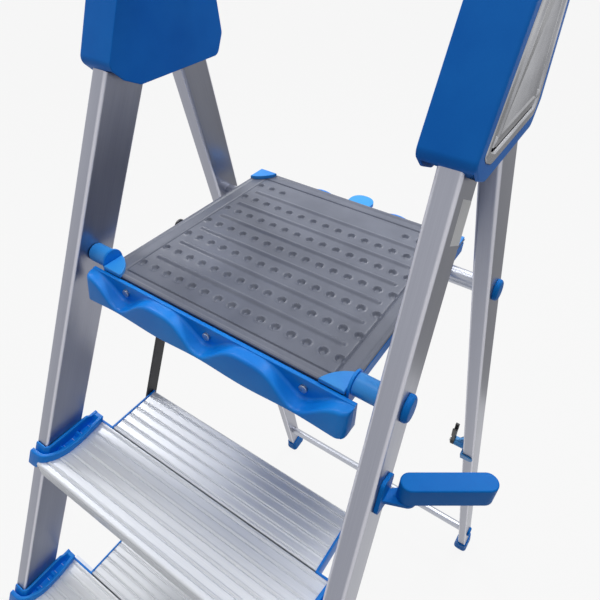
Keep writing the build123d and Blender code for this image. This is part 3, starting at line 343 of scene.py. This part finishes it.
def gridFaces(rows, columns, closed=False):
    # quads between neighbouring rows; closed joins each row's last column to its first
    across = columns if closed else columns - 1
    i, j = np.meshgrid(np.arange(rows - 1), np.arange(across), indexing="ij")
    k = (j + 1) % columns
    near, far = i * columns, (i + 1) * columns
    quads = np.stack([near + j, near + k, far + k, far + j], axis=-1)
    return quads.reshape(-1, 4).tolist()


def roundedLoop(corners, radii, arcSteps):
    # closed outlines with each corner drawn as a quadratic curve: (1-t)^2 A + 2t(1-t) corner + t^2 B,
    # where A and B lie one radius before and behind the corner, at most 0.48 of the side
    ahead = np.roll(corners, -1, axis=0) - corners
    behind = np.roll(corners, 1, axis=0) - corners
    t = np.linspace(0, 1, arcSteps)[None, :, None, None]
    sides = []
    for way in (behind, ahead):
        length = np.linalg.norm(way, axis=-1, keepdims=True) + 1e-9
        sides.append(corners + way / length * np.minimum(np.reshape(radii, (-1, 1, 1)), 0.48 * length))
    start, end, middle = sides[0][:, None], sides[1][:, None], corners[:, None]
    curve = (1 - t) ** 2 * start + 2 * t * (1 - t) * middle + t ** 2 * end
    return curve.reshape(-1, *corners.shape[1:])


def smoothCurve(knots, count):
    # Catmull-Rom curve: a cubic between neighbouring knots, with slopes from the knots on either side
    knots = np.array(knots, float)
    slopes = np.gradient(knots, axis=0)
    u = np.linspace(0, len(knots) - 1, count)
    i = np.minimum(u.astype(int), len(knots) - 2)
    t = (u - i)[:, None]
    start, end = knots[i], knots[i + 1]
    rise = (t ** 3 - 2 * t ** 2 + t) * slopes[i] + (t ** 3 - t ** 2) * slopes[i + 1]
    return (2 * t ** 3 - 3 * t ** 2 + 1) * start + (3 * t ** 2 - 2 * t ** 3) * end + rise


def smoothShare(value, low, high):
    # 0 below low, 1 above high, and an S curve between
    share = np.clip((value - low) / (high - low), 0, 1)
    return share ** 2 * (3 - 2 * share)


def closedSweep(section):
    # faces of closed sections along a path, with both ends closed; section is (loop, station, 3)
    count, stations = section.shape[:2]
    places = section.transpose(1, 0, 2).reshape(-1, 3)
    last = (stations - 1) * count
    ends = [np.arange(count)[::-1].tolist(), (last + np.arange(count)).tolist()]
    return places, gridFaces(stations, count, closed=True) + ends


def joined(parts):
    # several (places, faces) as one
    places, faces, start = [], [], 0
    for some, quads in parts:
        places.append(some)
        faces += [[start + k for k in quad] for quad in quads]
        start += len(some)
    return np.concatenate(places), faces


def bothHands(part):
    # a right-hand part and its mirror image
    places, faces = part
    return joined([part, (places * np.array([-1, 1, 1]), [face[::-1] for face in faces])])


# Tread plate: a height field with a lip over the deck, a raised edge, a border groove, ribs and cups
plateLook = {"width": 300, "depth": 282, "thickness": 7, "step": 1.0, "edge": 0.9,
             "rim": 1.3, "rimWidth": 4.6, "rimSoft": 0.35,
             "lipHalf": 154.6, "lipFront": -1.2, "lipRear": 287.5, "lipUnder": -0.8,
             "grooveSide": 14.8, "grooveEnd": 11.3, "grooveWidth": 1.0, "grooveDepth": 2.3,
             "ribs": 6, "ribHalf": 122, "ribWidth": 4.4, "ribRise": 2.3,
             "rows": 7, "columns": 15, "pitchX": 18.5, "pitchY": 36.6, "bareHalf": 83,
             "cup": 4.9, "cupDepth": 3.2, "cupWall": 0.55, "cupLip": 0.5, "lipAway": 0.5, "lipWidth": 0.7}


def treadPlate():
    # height = edge round + rim + groove (bell curve) + ribs (raised cosine round a line) + cups (smooth steps,
    # each with a bell-shaped lip); the rear row stays bare in the middle
    p = plateLook
    xs = np.linspace(-p["lipHalf"], p["lipHalf"], int(2 * p["lipHalf"] / p["step"]))
    ys = np.linspace(p["lipFront"], p["lipRear"], int((p["lipRear"] - p["lipFront"]) / p["step"]))
    y, x = np.meshgrid(ys, xs, indexing="ij")
    ax, ay = np.abs(x), np.abs(y - p["depth"] / 2)
    inside = np.minimum(p["lipHalf"] - ax, np.minimum(y - p["lipFront"], p["lipRear"] - y))
    height = p["rim"] / (1 + np.exp((inside - p["rimWidth"]) / p["rimSoft"]))
    over = np.clip(p["edge"] - inside, 0, p["edge"])
    height -= p["edge"] - np.sqrt(p["edge"] ** 2 - over ** 2)
    toLine = np.maximum(ax - p["width"] / 2 + p["grooveSide"], ay - p["depth"] / 2 + p["grooveEnd"])
    height -= p["grooveDepth"] * np.exp(-(toLine / p["grooveWidth"]) ** 2)
    halfRibs, halfColumns, halfRows = p["ribs"] // 2, p["columns"] // 2, p["rows"] // 2
    ribRow = np.clip(np.round((y - p["depth"] / 2) / p["pitchY"] - 0.5), -halfRibs, halfRibs - 1) + 0.5
    ribY = p["depth"] / 2 + ribRow * p["pitchY"]
    fromRib = np.hypot(np.maximum(ax - p["ribHalf"], 0), y - ribY)
    height += p["ribRise"] * (0.5 + 0.5 * np.cos(np.pi * np.clip(fromRib / p["ribWidth"], 0, 1)))
    column = np.clip(np.round(x / p["pitchX"]), -halfColumns, halfColumns)
    row = np.clip(np.round((y - p["depth"] / 2) / p["pitchY"]), -halfRows, halfRows)
    fromCup = np.hypot(x - column * p["pitchX"], y - p["depth"] / 2 - row * p["pitchY"])
    drawn = ~((row == halfRows) & (np.abs(column * p["pitchX"]) < p["bareHalf"]))
    height -= drawn * p["cupDepth"] * smoothShare(p["cup"] - fromCup, 0, p["cupWall"] * p["cup"])
    height += drawn * p["cupLip"] * np.exp(-((fromCup - p["cup"] - p["lipAway"]) / p["lipWidth"]) ** 2)
    top = np.stack([x, y, height], axis=-1)
    rows, columns = x.shape
    border = np.concatenate([np.arange(columns), np.arange(1, rows) * columns + columns - 1,
                             (rows - 1) * columns + np.arange(columns - 2, -1, -1),
                             np.arange(rows - 2, 0, -1) * columns])
    lip = top.reshape(-1, 3)[border].copy()
    lip[:, 2] = p["lipUnder"]
    neck = np.clip(lip, (-p["width"] / 2, 0, p["lipUnder"]), (p["width"] / 2, p["depth"], p["lipUnder"]))
    under = neck - np.array([0, 0, p["thickness"] + p["lipUnder"]])
    places = np.concatenate([top.reshape(-1, 3), lip, neck, under])
    base, count = rows * columns, len(border)
    rings = [border] + [base + count * k + np.arange(count) for k in range(3)]
    walls = [np.stack([a, b, np.roll(b, -1), np.roll(a, -1)], axis=-1) for a, b in zip(rings, rings[1:])]
    return places, gridFaces(rows, columns) + np.concatenate(walls).tolist() + [rings[3][::-1].tolist()]


addPiece("tread_plate_moulding", *treadPlate(), "tread", "platform", ["tread_plate"])
print("tread plate done")

# Front tool ledge: a hollow section whose shelf rises to broad crests and sinks to a pocket at each screw
ledgeLook = {"half": 168, "wallIn": -4, "wallOut": -8, "top": 0, "crest": -1.2, "depth": 23.5, "wave": 116,
             "sharp": 1.9, "shelfFront": -21.5, "footFront": -26.8, "bottom": -31, "footLift": 3, "skin": 2.6,
             "sliver": 0.02, "seam": 0.01, "least": 0.2, "corner": 9, "end": 3, "stations": 240, "endStations": 5,
             "radii": (0.8, 1.2, 4.5, 4.0, 1.0, 0.4, 1.0, 1.0, 0.4, 0.4), "arcSteps": 6}


def ledgeSurface():
    # a closed section carried along X; shelf level = crest - depth * (half plus half cosine)^sharp,
    # and the front wall's lower edge = bottom + lift * (half plus half cosine)
    k = ledgeLook
    half, ends = k["half"], k["endStations"]
    solid = half - k["end"]
    xs = np.concatenate([[-half], np.linspace(-half, -solid, ends), np.linspace(-solid, solid, k["stations"]),
                         np.linspace(solid, half, ends), [half]])
    filled = np.concatenate([np.ones(ends + 1), np.zeros(k["stations"]), np.ones(ends + 1)]) > 0
    pocket = 0.5 + 0.5 * np.cos(2 * np.pi * xs / k["wave"])
    level = k["crest"] - k["depth"] * pocket ** k["sharp"]
    foot = k["bottom"] + k["footLift"] * pocket
    turn = np.clip(np.abs(xs) - half + k["corner"], 0, k["corner"])
    recede = k["corner"] - np.sqrt(k["corner"] ** 2 - turn ** 2)
    slope = (k["footFront"] - k["shelfFront"]) / (k["bottom"] - k["crest"])
    one = np.ones_like(xs)
    shelfY = k["shelfFront"] + slope * (level - k["crest"]) + recede
    footY = k["footFront"] + recede
    under = np.where(filled, foot, np.maximum(level - k["skin"], foot + k["least"]))
    skin = np.where(filled, k["sliver"], k["skin"])
    wallFront = (k["wallOut"] - k["seam"]) * one
    corners = np.stack([np.stack(pair, -1) for pair in (
        (k["wallIn"] * one, k["top"] * one), (k["wallOut"] * one, k["top"] * one), (k["wallOut"] * one, level),
        (shelfY, level), (footY, foot), (footY + skin, foot), (shelfY + skin, under), (wallFront, under),
        (wallFront, k["bottom"] * one), (k["wallIn"] * one, k["bottom"] * one))])
    section = roundedLoop(corners, k["radii"], k["arcSteps"])
    along = np.broadcast_to(xs[None, :, None], (*section.shape[:2], 1))
    return closedSweep(np.concatenate([along, section], axis=-1))


addPiece("front_ledge_moulding", *ledgeSurface(), "blue", "platform", ["front_ledge"], 50)
print("front ledge done")

# The front rails' lines: outward and forward run for each millimetre down, and the centre line at the plate's top
railLines = {"splay": 0.0763, "line": 9.4855, "slope": 0.45362}

# Step collars: a channel round the rail's inner and front faces, a tall lip at the rail and a low one on the tread.
# Knots are inward from the rail's inner face, and back from its centre line; spans are shares of the way along
collarLook = {"face": 184.6, "pitch": 250, "steps": 4, "stations": 130, "arcSteps": 5,
              "wallHeight": 15, "lipHeight": 9.5, "floor": 0.4, "wall": 4.2, "lip": 5.2, "most": 0.36, "slant": 0.4,
              "frontSpan": (0.6, 0.8), "frontLip": 2.5, "frontWall": 0.14,
              "closedTo": 0.15, "closing": 0.05, "climb": 0.1, "backRise": 1, "skirt": 9, "skirtSpan": (0.5, 4),
              "ribs": (0.34, 0.5, 0.66), "ribWidth": 0.009, "ribHeight": 4.5,
              "radii": (0.4, 0.8, 1.2, 0.6, 0.6, 1.3, 1.6, 0.6),
              "outer": ((17.5, 50), (18, 45), (19.2, 35), (20.8, 18), (21, -2), (17.5, -18), (10, -31), (2, -37.5),
                        (-8, -39.5), (-18, -39.5)),
              "inner": ((0.3, 50), (0.3, 44), (0.3, 34), (0.3, 18), (0.3, -2), (0.3, -17), (0.3, -24.5),
                        (-2, -28.5), (-9, -28.5), (-18, -28.5))}


def stepCollar(number):
    # place = inner curve + share of the way to the outer curve + height along the rail;
    # the section is wall, floor and lip, and the floor rises to close the channel at the back
    k, rail = collarLook, railLines
    drop = number * k["pitch"]
    outer = smoothCurve(k["outer"], k["stations"])
    knots = np.array(k["inner"])
    t = np.linspace(0, 1, k["stations"])
    inner = np.stack([np.interp(t * (len(knots) - 1), np.arange(len(knots)), knots[:, i]) for i in (0, 1)], -1)
    width = np.linalg.norm(outer - inner, axis=-1)
    front = smoothShare(t, *k["frontSpan"])
    wall = np.minimum(k["wall"], (k["most"] - k["frontWall"] * front) * width)
    lip = np.minimum(k["lip"] + k["frontLip"] * front, (k["most"] + k["frontWall"] * front) * width)
    opened = smoothShare(t, k["closedTo"] - k["closing"], k["closedTo"])
    floor = k["lipHeight"] - (k["lipHeight"] - k["floor"]) * opened
    floor = floor + sum(k["ribHeight"] * (np.abs(t - rib) < k["ribWidth"]) for rib in k["ribs"])
    climb = smoothShare(t, k["closedTo"], k["closedTo"] + k["climb"])
    tall = k["lipHeight"] + k["backRise"] + (k["wallHeight"] - k["lipHeight"] - k["backRise"]) * climb
    low = -k["skirt"] * smoothShare(-0.5 * (outer + inner)[:, 0], *k["skirtSpan"])
    one = np.ones_like(t)
    lipTop = k["lipHeight"] * one
    corners = np.stack([np.stack(pair, -1) for pair in (
        (0 * one, low), (0 * one, tall), (wall, tall), (wall + k["slant"], floor),
        (width - lip - k["slant"], floor), (width - lip, lipTop), (width, lipTop), (width, low))])
    loop = roundedLoop(corners, k["radii"], k["arcSteps"])
    plan = inner + (outer - inner) * (loop[..., :1] / width[:, None])
    face, line = k["face"] + rail["splay"] * drop, rail["line"] - rail["slope"] * drop
    height = loop[..., 1]
    places = np.stack([face - plan[..., 0] - rail["splay"] * height, line + plan[..., 1] + rail["slope"] * height,
                       height - drop], -1)
    return closedSweep(places)


for number in range(1, collarLook["steps"] + 1):
    node = f"step_{number}_collars"
    addPiece(node + "_moulding", *bothHands(stepCollar(number)), "blue", "front_frame", [node])
print("step collars done")

# Treads: two hollow extrusions with grooves along the top, and a dark joint between them.
# Sizes are back from the rail's centre line, and down from the tread's top
plankLook = {"front": -41, "joint": 51, "tongue": 10, "rearStart": 52.9, "back": 131.1, "frontThickness": 30,
             "rearThickness": 26, "wall": 2.4, "chambers": 3, "arcSteps": 5, "endFrom": 100,
             "first": 9, "pitch": 13, "grooveDepth": 0.9, "grooveWidth": 0.8, "beadRise": 0.45, "beadBehind": 2.3,
             "topStep": 0.35, "backCut": 0.4, "seatRoom": 0.1, "toeCut": 1, "nose": 2.6, "noseSteps": 7,
             "faceGroove": 9, "faceDepth": 1.1, "faceOuter": 1.6, "faceInner": 0.9}


def plankLoops(front, back, thickness, tongue):
    # outline = top (bell-shaped grooves, each with a bead behind it), back, bottom, face with a groove, nose arc;
    # then the chambers, as rounded rectangles
    k = plankLook
    top = np.arange(front + k["nose"], back - k["backCut"], k["topStep"])
    fromGroove = (top - front - k["first"] + k["pitch"] / 2) % k["pitch"] - k["pitch"] / 2
    rise = k["beadRise"] * np.exp(-((fromGroove - k["beadBehind"]) / k["grooveWidth"]) ** 2)
    rise -= k["grooveDepth"] * np.exp(-(fromGroove / k["grooveWidth"]) ** 2)
    seat = -k["rearThickness"] - k["seatRoom"]
    heel = [(back, -k["backCut"]), (back, seat), (back + tongue, seat), (back + tongue, -thickness)]
    groove, deep = -k["faceGroove"], front + k["faceDepth"]
    face = [(front + k["toeCut"], -thickness), (front, k["toeCut"] - thickness), (front, groove - k["faceOuter"]),
            (deep, groove - k["faceInner"]), (deep, groove + k["faceInner"]), (front, groove + k["faceOuter"])]
    turn = np.linspace(0, np.pi / 2, k["noseSteps"])[:-1]
    arc = np.stack([front + k["nose"] * (1 - np.cos(turn)), k["nose"] * (np.sin(turn) - 1)], -1)
    outline = np.concatenate([np.stack([top, rise], -1), heel if tongue else [heel[0], heel[3]], face, arc])
    width = (back - front - k["wall"]) / k["chambers"]
    low, high = k["wall"] - thickness, -k["wall"]
    loops = [outline]
    for number in range(k["chambers"]):
        left = front + k["wall"] + number * width
        right = left + width - k["wall"]
        corners = np.array([(left, low), (right, low), (right, high), (left, high)], float)[:, None]
        loops.append(roundedLoop(corners, [k["wall"]] * 4, k["arcSteps"])[:, 0])
    return loops


def plank(node, number, mirrored):
    # the loops carried from end to end; x at an end = the CAD plank's own end plane, a + b y + c z
    k = plankLook
    drop = number * collarLook["pitch"]
    line = railLines["line"] - railLines["slope"] * drop
    if mirrored:
        loops = [loop * (-1, 1) for loop in plankLoops(-k["back"], -k["rearStart"], k["rearThickness"], 0)]
    else:
        loops = plankLoops(k["front"], k["joint"], k["frontThickness"], k["tongue"])
    real = (points(node) - plateOrigin) * 1000
    real = real[real[:, 0] > k["endFrom"]]
    terms = np.stack([np.ones(len(real)), real[:, 1], real[:, 2]], -1)
    plane = np.linalg.lstsq(terms, real[:, 0], rcond=None)[0]
    parts = []
    for loop in loops:
        y, z = loop[:, 0] + line, loop[:, 1] - drop
        end = plane[0] + plane[1] * y + plane[2] * z
        section = np.stack([np.stack([-end, y, z], -1), np.stack([end, y, z], -1)], axis=1)
        parts.append((section.transpose(1, 0, 2).reshape(-1, 3), gridFaces(2, len(loop), closed=True)))
    return joined(parts)


for number in range(1, collarLook["steps"] + 1):
    for place, mirrored in (("front", False), ("rear", True)):
        node = f"step_{number}_{place}_plank"
        addPiece(node + "_extrusion", *plank(node, number, mirrored), "step", "front_frame", [node], 35)
print("treads done")

# Side plates of the top caps: pressed metal with a raised border, a channel, an inner bead and rivets.
# Corners are behind the front rail's centre line, and along the rail from the platform pivot
capPlateLook = {"pivot": (11.3, 4), "lean": 24.4, "outside": 200, "along": 279.03,
                "corners": ((-34, -83), (-14, -90), (8, -90), (114, -39), (114, -15), (45, 95), (-22, 95),
                            (-34, 81)),
                "profile": ((13.3, -1.5), (13.3, -0.1), (14.2, 0.6), (20.5, 0.6), (21.4, -0.4), (21.8, -2.2),
                            (24, -2.2), (25.2, -0.4), (30, -0.4), (31.5, 0.5), (34, 0.5), (35.5, -0.4)),
                "corner": 3.0, "arcSteps": 5, "rivets": ((-7, -62), (84, -16), (-8, 66), (30, 68)),
                "rivet": 4.2, "rivetRise": 1.8, "rivetSunk": 0.5, "rivetCrown": 0.96, "rivetSides": 24,
                "rivetRings": 6}


def insetOutline(corners, inset):
    # moves each side inwards and cuts neighbouring sides; a side that has shrunk away becomes one point
    ahead = np.roll(corners, -1, axis=0) - corners
    way = ahead / np.linalg.norm(ahead, axis=-1, keepdims=True)
    start = corners + inset * np.stack([-way[:, 1], way[:, 0]], -1)

    def cut(first, second):
        gap, a, b = start[second] - start[first], way[first], way[second]
        share = (gap[:, 0] * b[:, 1] - gap[:, 1] * b[:, 0]) / (a[:, 0] * b[:, 1] - a[:, 1] * b[:, 0])
        return start[first] + share[:, None] * a

    order = np.arange(len(corners))
    found = cut(np.roll(order, 1), order)
    gone = ((np.roll(found, -1, axis=0) - found) * way).sum(-1) < 0
    meeting = cut(np.roll(order, 1), np.roll(order, -1))
    found = np.where(gone[:, None], meeting, found)
    before = np.roll(gone, 1)
    return np.where(before[:, None] & ~gone[:, None], np.roll(meeting, 1, axis=0), found)


def capPlate():
    # loops of the outline at each inset of the profile, with its height, then rivet heads (quarter waves round)
    k = capPlateLook
    corners = np.array(k["corners"], float)
    rings = np.stack([insetOutline(corners, inset) for inset, rise in k["profile"]], axis=1)
    loops = roundedLoop(rings, [k["corner"]] * len(corners), k["arcSteps"])
    rise = np.array([rise for inset, rise in k["profile"]])
    plate = np.concatenate([np.broadcast_to(rise[None, :, None], (*loops.shape[:2], 1)), loops], -1)
    parts = [closedSweep(plate)]
    turn, climb = np.meshgrid(np.linspace(0, 2 * np.pi, k["rivetSides"], endpoint=False),
                              np.linspace(0, 1, k["rivetRings"]), indexing="ij")
    for behind, along in k["rivets"]:
        out = k["rivet"] * np.cos(climb * np.pi / 2 * k["rivetCrown"])
        head = np.stack([k["rivetRise"] * np.sin(climb * np.pi / 2) - k["rivetSunk"], behind + out * np.cos(turn),
                         along + out * np.sin(turn)], -1)
        parts.append(closedSweep(head))
    places, faces = joined(parts)
    lean = radians(k["lean"])
    behind, along = places[:, 1], places[:, 2] + k["along"]
    x = k["outside"] + places[:, 0]
    y = k["pivot"][0] + behind * np.cos(lean) + along * np.sin(lean)
    z = k["pivot"][1] - behind * np.sin(lean) + along * np.cos(lean)
    return np.stack([x, y, z], -1), faces


for side, hand in (("right", 1), ("left", -1)):
    places, faces = capPlate()
    node = f"top_cap_plate_{side}"
    addPiece(node + "_pressing", places * np.array([hand, 1, 1]), faces, "cast", "front_frame", [node], 35)
print("cap plates done")

# Boots: a cup round the rail's end with a flat sole, which swells towards the inside and the heel only.
# Levels run from the floor to the rim
bootLook = {"rise": 52, "seat": 9, "wall": 4, "inside": 7, "outside": 0, "toe": 0, "heel": 5.5, "corner": 12,
            "railCorner": 4, "room": 0.05, "arcSteps": 8,
            "levels": (0, 0.012, 0.04, 0.1, 0.2, 0.33, 0.5, 0.7, 0.88, 0.98, 1),
            "walls": (0.1, 0.5, 0.85, 1, 1, 1, 1, 1, 1, 0.97, 0.85),
            "swells": (0, 0.32, 0.64, 0.9, 1, 0.9, 0.62, 0.26, 0.04, 0, 0)}


def boot(end, side):
    # place = rail's middle + across + deep + run * (floor + level * (rim - floor)), where the floor is where
    # that line along the rail meets z = 0; the loops go up the skin and down the hole to the seat
    k = bootLook
    rail = f"{end}_rail_{side}"
    run = np.array(Vector(runOf(rail)).normalized())
    sizes, ways, middles = [], [], []
    for way, middle, half in sectionOf(rail):
        ways.append(np.array(way))
        middles.append(middle)
        sizes.append(half * 1000)
    wall, swell = k["wall"] * np.array(k["walls"]), np.array(k["swells"])
    limits = []
    across = ("inside", "outside") if side == "right" else ("outside", "inside")
    deep = ("toe", "heel") if end == "front" else ("heel", "toe")
    for half, (low, high) in zip(sizes, (across, deep)):
        limits.append((-half - wall - swell * k[low], half + wall + swell * k[high]))
    (left, right), (near, far) = limits
    corners = np.stack([np.stack(pair, -1) for pair in (
        (left, near), (right, near), (right, far), (left, far))])
    a, b = sizes[0] + k["room"], sizes[1] + k["room"]
    hole = np.array([(-a, -b), (a, -b), (a, b), (-a, b)])[:, None].repeat(2, axis=1)
    loop = np.concatenate([roundedLoop(corners, [k["corner"]] * 4, k["arcSteps"]),
                           roundedLoop(hole, [k["railCorner"]] * 4, k["arcSteps"])], axis=1)
    flat = sum((middles[i] + loop[..., i:i + 1] * mm) * ways[i] for i in (0, 1))
    floor = -flat[..., 2] / run[2]
    rim = (k["rise"] * mm - sum(middles[i] * ways[i][2] for i in (0, 1))) / run[2]
    along = floor + np.array([*k["levels"], 1, 0]) * (rim - floor)
    along[:, -1] += k["seat"] * mm / run[2]
    return closedSweep((flat + along[..., None] * run - plateOrigin) * 1000)


for end in ("front", "rear"):
    for side in ("left", "right"):
        node = f"{end}_foot_{side}"
        # the boots take the darker copy of the blue: painted shade
        addPiece(node + "_boot", *boot(end, side), "hookBlue", bodyOf[node], [node])
print("boots done")

# Blank label on the right rail's outer face: a thin sheet that follows the face. Its ends lie square to the rail
labelLook = {"outside": 205.1, "back": (-11, 20.5), "height": (131, 163), "lean": 0.4198, "thickness": 0.25,
             "levels": (-0.2, 0.9, 1), "corner": 2.5, "arcSteps": 6}


def railLabel():
    # outline = back from the rail's centre line, and height; both along the rail's slope
    k, rail = labelLook, railLines
    (near, far), (low, high) = k["back"], k["height"]
    corners = np.array([(back, height - back * k["lean"]) for back, height in (
        (near, low), (far, low), (far, high), (near, high))])[:, None, :]
    outline = roundedLoop(corners, [k["corner"]] * 4, k["arcSteps"])[:, 0]
    back, height = outline[:, 0], outline[:, 1]
    flat = np.stack([k["outside"] - rail["splay"] * height, rail["line"] + rail["slope"] * height + back, height], -1)
    lift = np.array([k["thickness"], 0, 0])
    return closedSweep(np.stack([flat + level * lift for level in k["levels"]], axis=1))


addPiece("rail_label_blank", *railLabel(), "label", "front_frame", [])
print("label done")

# The CAD nodes that no new piece replaces
for node in sorted(nodes):
    if not nodes[node].hide_render:
        roundedCopy(node)
print("rounded copies done")

# Floor and light: white sweep, a large soft lamp high behind the platform, a smaller one above it, a fill high on the
# left, and a grey card on the floor behind at the right, which only reflections see
studio = {"floor": 40.0, "floorLevel": -0.0005, "floorTone": "#A8A8A8", "floorRough": 0.9, "floorGlow": 0.9,
          "white": "#FFFFFF", "skyLow": 0.04, "skyHigh": 0.66,
          "cardLow": (0.2, 1.2), "cardHigh": (3.2, 6.0), "cardLevel": 0.0005, "cardGrey": 0.38}
lamps = {"key": {"place": (0.4, 2.2, 3.8), "size": 1.4, "power": 46},
         "top": {"place": (0.1, -0.1, 4.4), "size": 1.0, "power": 20},
         "fill": {"place": (-1.9, 0.75, 3.4), "size": 0.7, "power": 21}}


def backdropMix(tree):
    # 1 where the camera, a reflection or a transmission looks at the background
    path = addNode(tree, "ShaderNodeLightPath").outputs
    first = addNode(tree, "ShaderNodeMath", {"operation": "MAXIMUM"},
                    {0: path["Is Camera Ray"], 1: path["Is Glossy Ray"]})
    return addNode(tree, "ShaderNodeMath", {"operation": "MAXIMUM"},
                   {0: first.outputs["Value"], 1: path["Is Transmission Ray"]}).outputs["Value"]


world = bpy.data.worlds.new("studio")
bpy.context.scene.world = world
world.use_nodes = True
worldTree = world.node_tree
upward = addNode(worldTree, "ShaderNodeSeparateXYZ", None,
                 {"Vector": addNode(worldTree, "ShaderNodeTexCoord").outputs["Generated"]}).outputs["Z"]
sky = addNode(worldTree, "ShaderNodeMapRange", None,
              {"Value": upward, "To Min": studio["skyLow"], "To Max": studio["skyHigh"]})
strength = addNode(worldTree, "ShaderNodeMix", {"data_type": "FLOAT"},
                   {0: backdropMix(worldTree), 2: sky.outputs["Result"], 3: 1.0})
worldTree.links.new(strength.outputs[0], worldTree.nodes["Background"].inputs["Strength"])
worldTree.nodes["Background"].inputs["Color"].default_value = colour(studio["white"])

floorMaterial, floorTree, floorShader, _ = startMaterial("white_studio_floor")
floorShader.inputs["Base Color"].default_value = colour(studio["floorTone"])
floorShader.inputs["Roughness"].default_value = studio["floorRough"]
floorGlow = addNode(floorTree, "ShaderNodeEmission", None, {"Color": colour(studio["white"]), "Strength": 1.0})
floorShare = addNode(floorTree, "ShaderNodeMath", {"operation": "MULTIPLY"},
                     {0: backdropMix(floorTree), 1: studio["floorGlow"]})
floorMix = addNode(floorTree, "ShaderNodeMixShader", None,
                   {0: floorShare.outputs["Value"], 1: floorShader.outputs["BSDF"],
                    2: floorGlow.outputs["Emission"]})
floorTree.links.new(floorMix.outputs["Shader"], floorTree.nodes["Material Output"].inputs["Surface"])


def stageSheet(name, low, high, level, material):
    # a level rectangle between two corners
    mesh = bpy.data.meshes.new(name)
    mesh.from_pydata([(low[0], low[1], level), (high[0], low[1], level), (high[0], high[1], level),
                      (low[0], high[1], level)], [], [(0, 1, 2, 3)])
    mesh.materials.append(material)
    sheet = bpy.data.objects.new(name, mesh)
    bpy.context.scene.collection.objects.link(sheet)
    return sheet


half = studio["floor"]
stageSheet("studio_floor", (-half, -half), (half, half), studio["floorLevel"], floorMaterial)
cardMaterial, cardTree, *_ = startMaterial("grey_studio_card")
cardGlow = addNode(cardTree, "ShaderNodeEmission", None,
                   {"Color": colour(studio["white"]), "Strength": studio["cardGrey"]})
cardTree.links.new(cardGlow.outputs["Emission"], cardTree.nodes["Material Output"].inputs["Surface"])
card = stageSheet("studio_card", studio["cardLow"], studio["cardHigh"], studio["cardLevel"], cardMaterial)
card.visible_camera = card.visible_diffuse = card.visible_shadow = card.visible_transmission = False


def softLight(name, aim, place, size, power):
    # a round area lamp that faces its aim
    data = bpy.data.lights.new(name, "AREA")
    data.shape = "DISK"
    data.size = size
    data.energy = power
    lamp = bpy.data.objects.new(name, data)
    lamp.location = place
    lamp.rotation_euler = (Vector(aim) - Vector(place)).to_track_quat("-Z", "Y").to_euler()
    bpy.context.scene.collection.objects.link(lamp)


platformMiddle = sum(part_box("tread_plate"), Vector()) / 2
for name, lamp in lamps.items():
    softLight(name, platformMiddle, **lamp)

# Camera of the photograph: seen from above the platform's front right corner
cameraLook = {"place": (0.27569, -0.291607, 1.60078), "right": (0.8285, 0.5598, 0.014),
              "down": (0.3752, -0.5363, -0.756), "focalPixels": 512.875, "imagePixels": 600, "sensor": 36}
lens = bpy.data.cameras.new("photo_view")
lens.sensor_width = cameraLook["sensor"]
lens.lens = cameraLook["focalPixels"] * cameraLook["sensor"] / cameraLook["imagePixels"]
lens.clip_start = 0.02
camera = bpy.data.objects.new("photo_view", lens)
right = Vector(cameraLook["right"]).normalized()
back = right.cross(-Vector(cameraLook["down"])).normalized()
turn = Matrix((right, back.cross(right), back)).transposed()
camera.matrix_world = Matrix.Translation(cameraLook["place"]) @ turn.to_4x4()
bpy.context.scene.collection.objects.link(camera)
bpy.context.scene.camera = camera

bpy.context.scene.view_settings.view_transform = "Standard"
print("stage, lights and camera set")
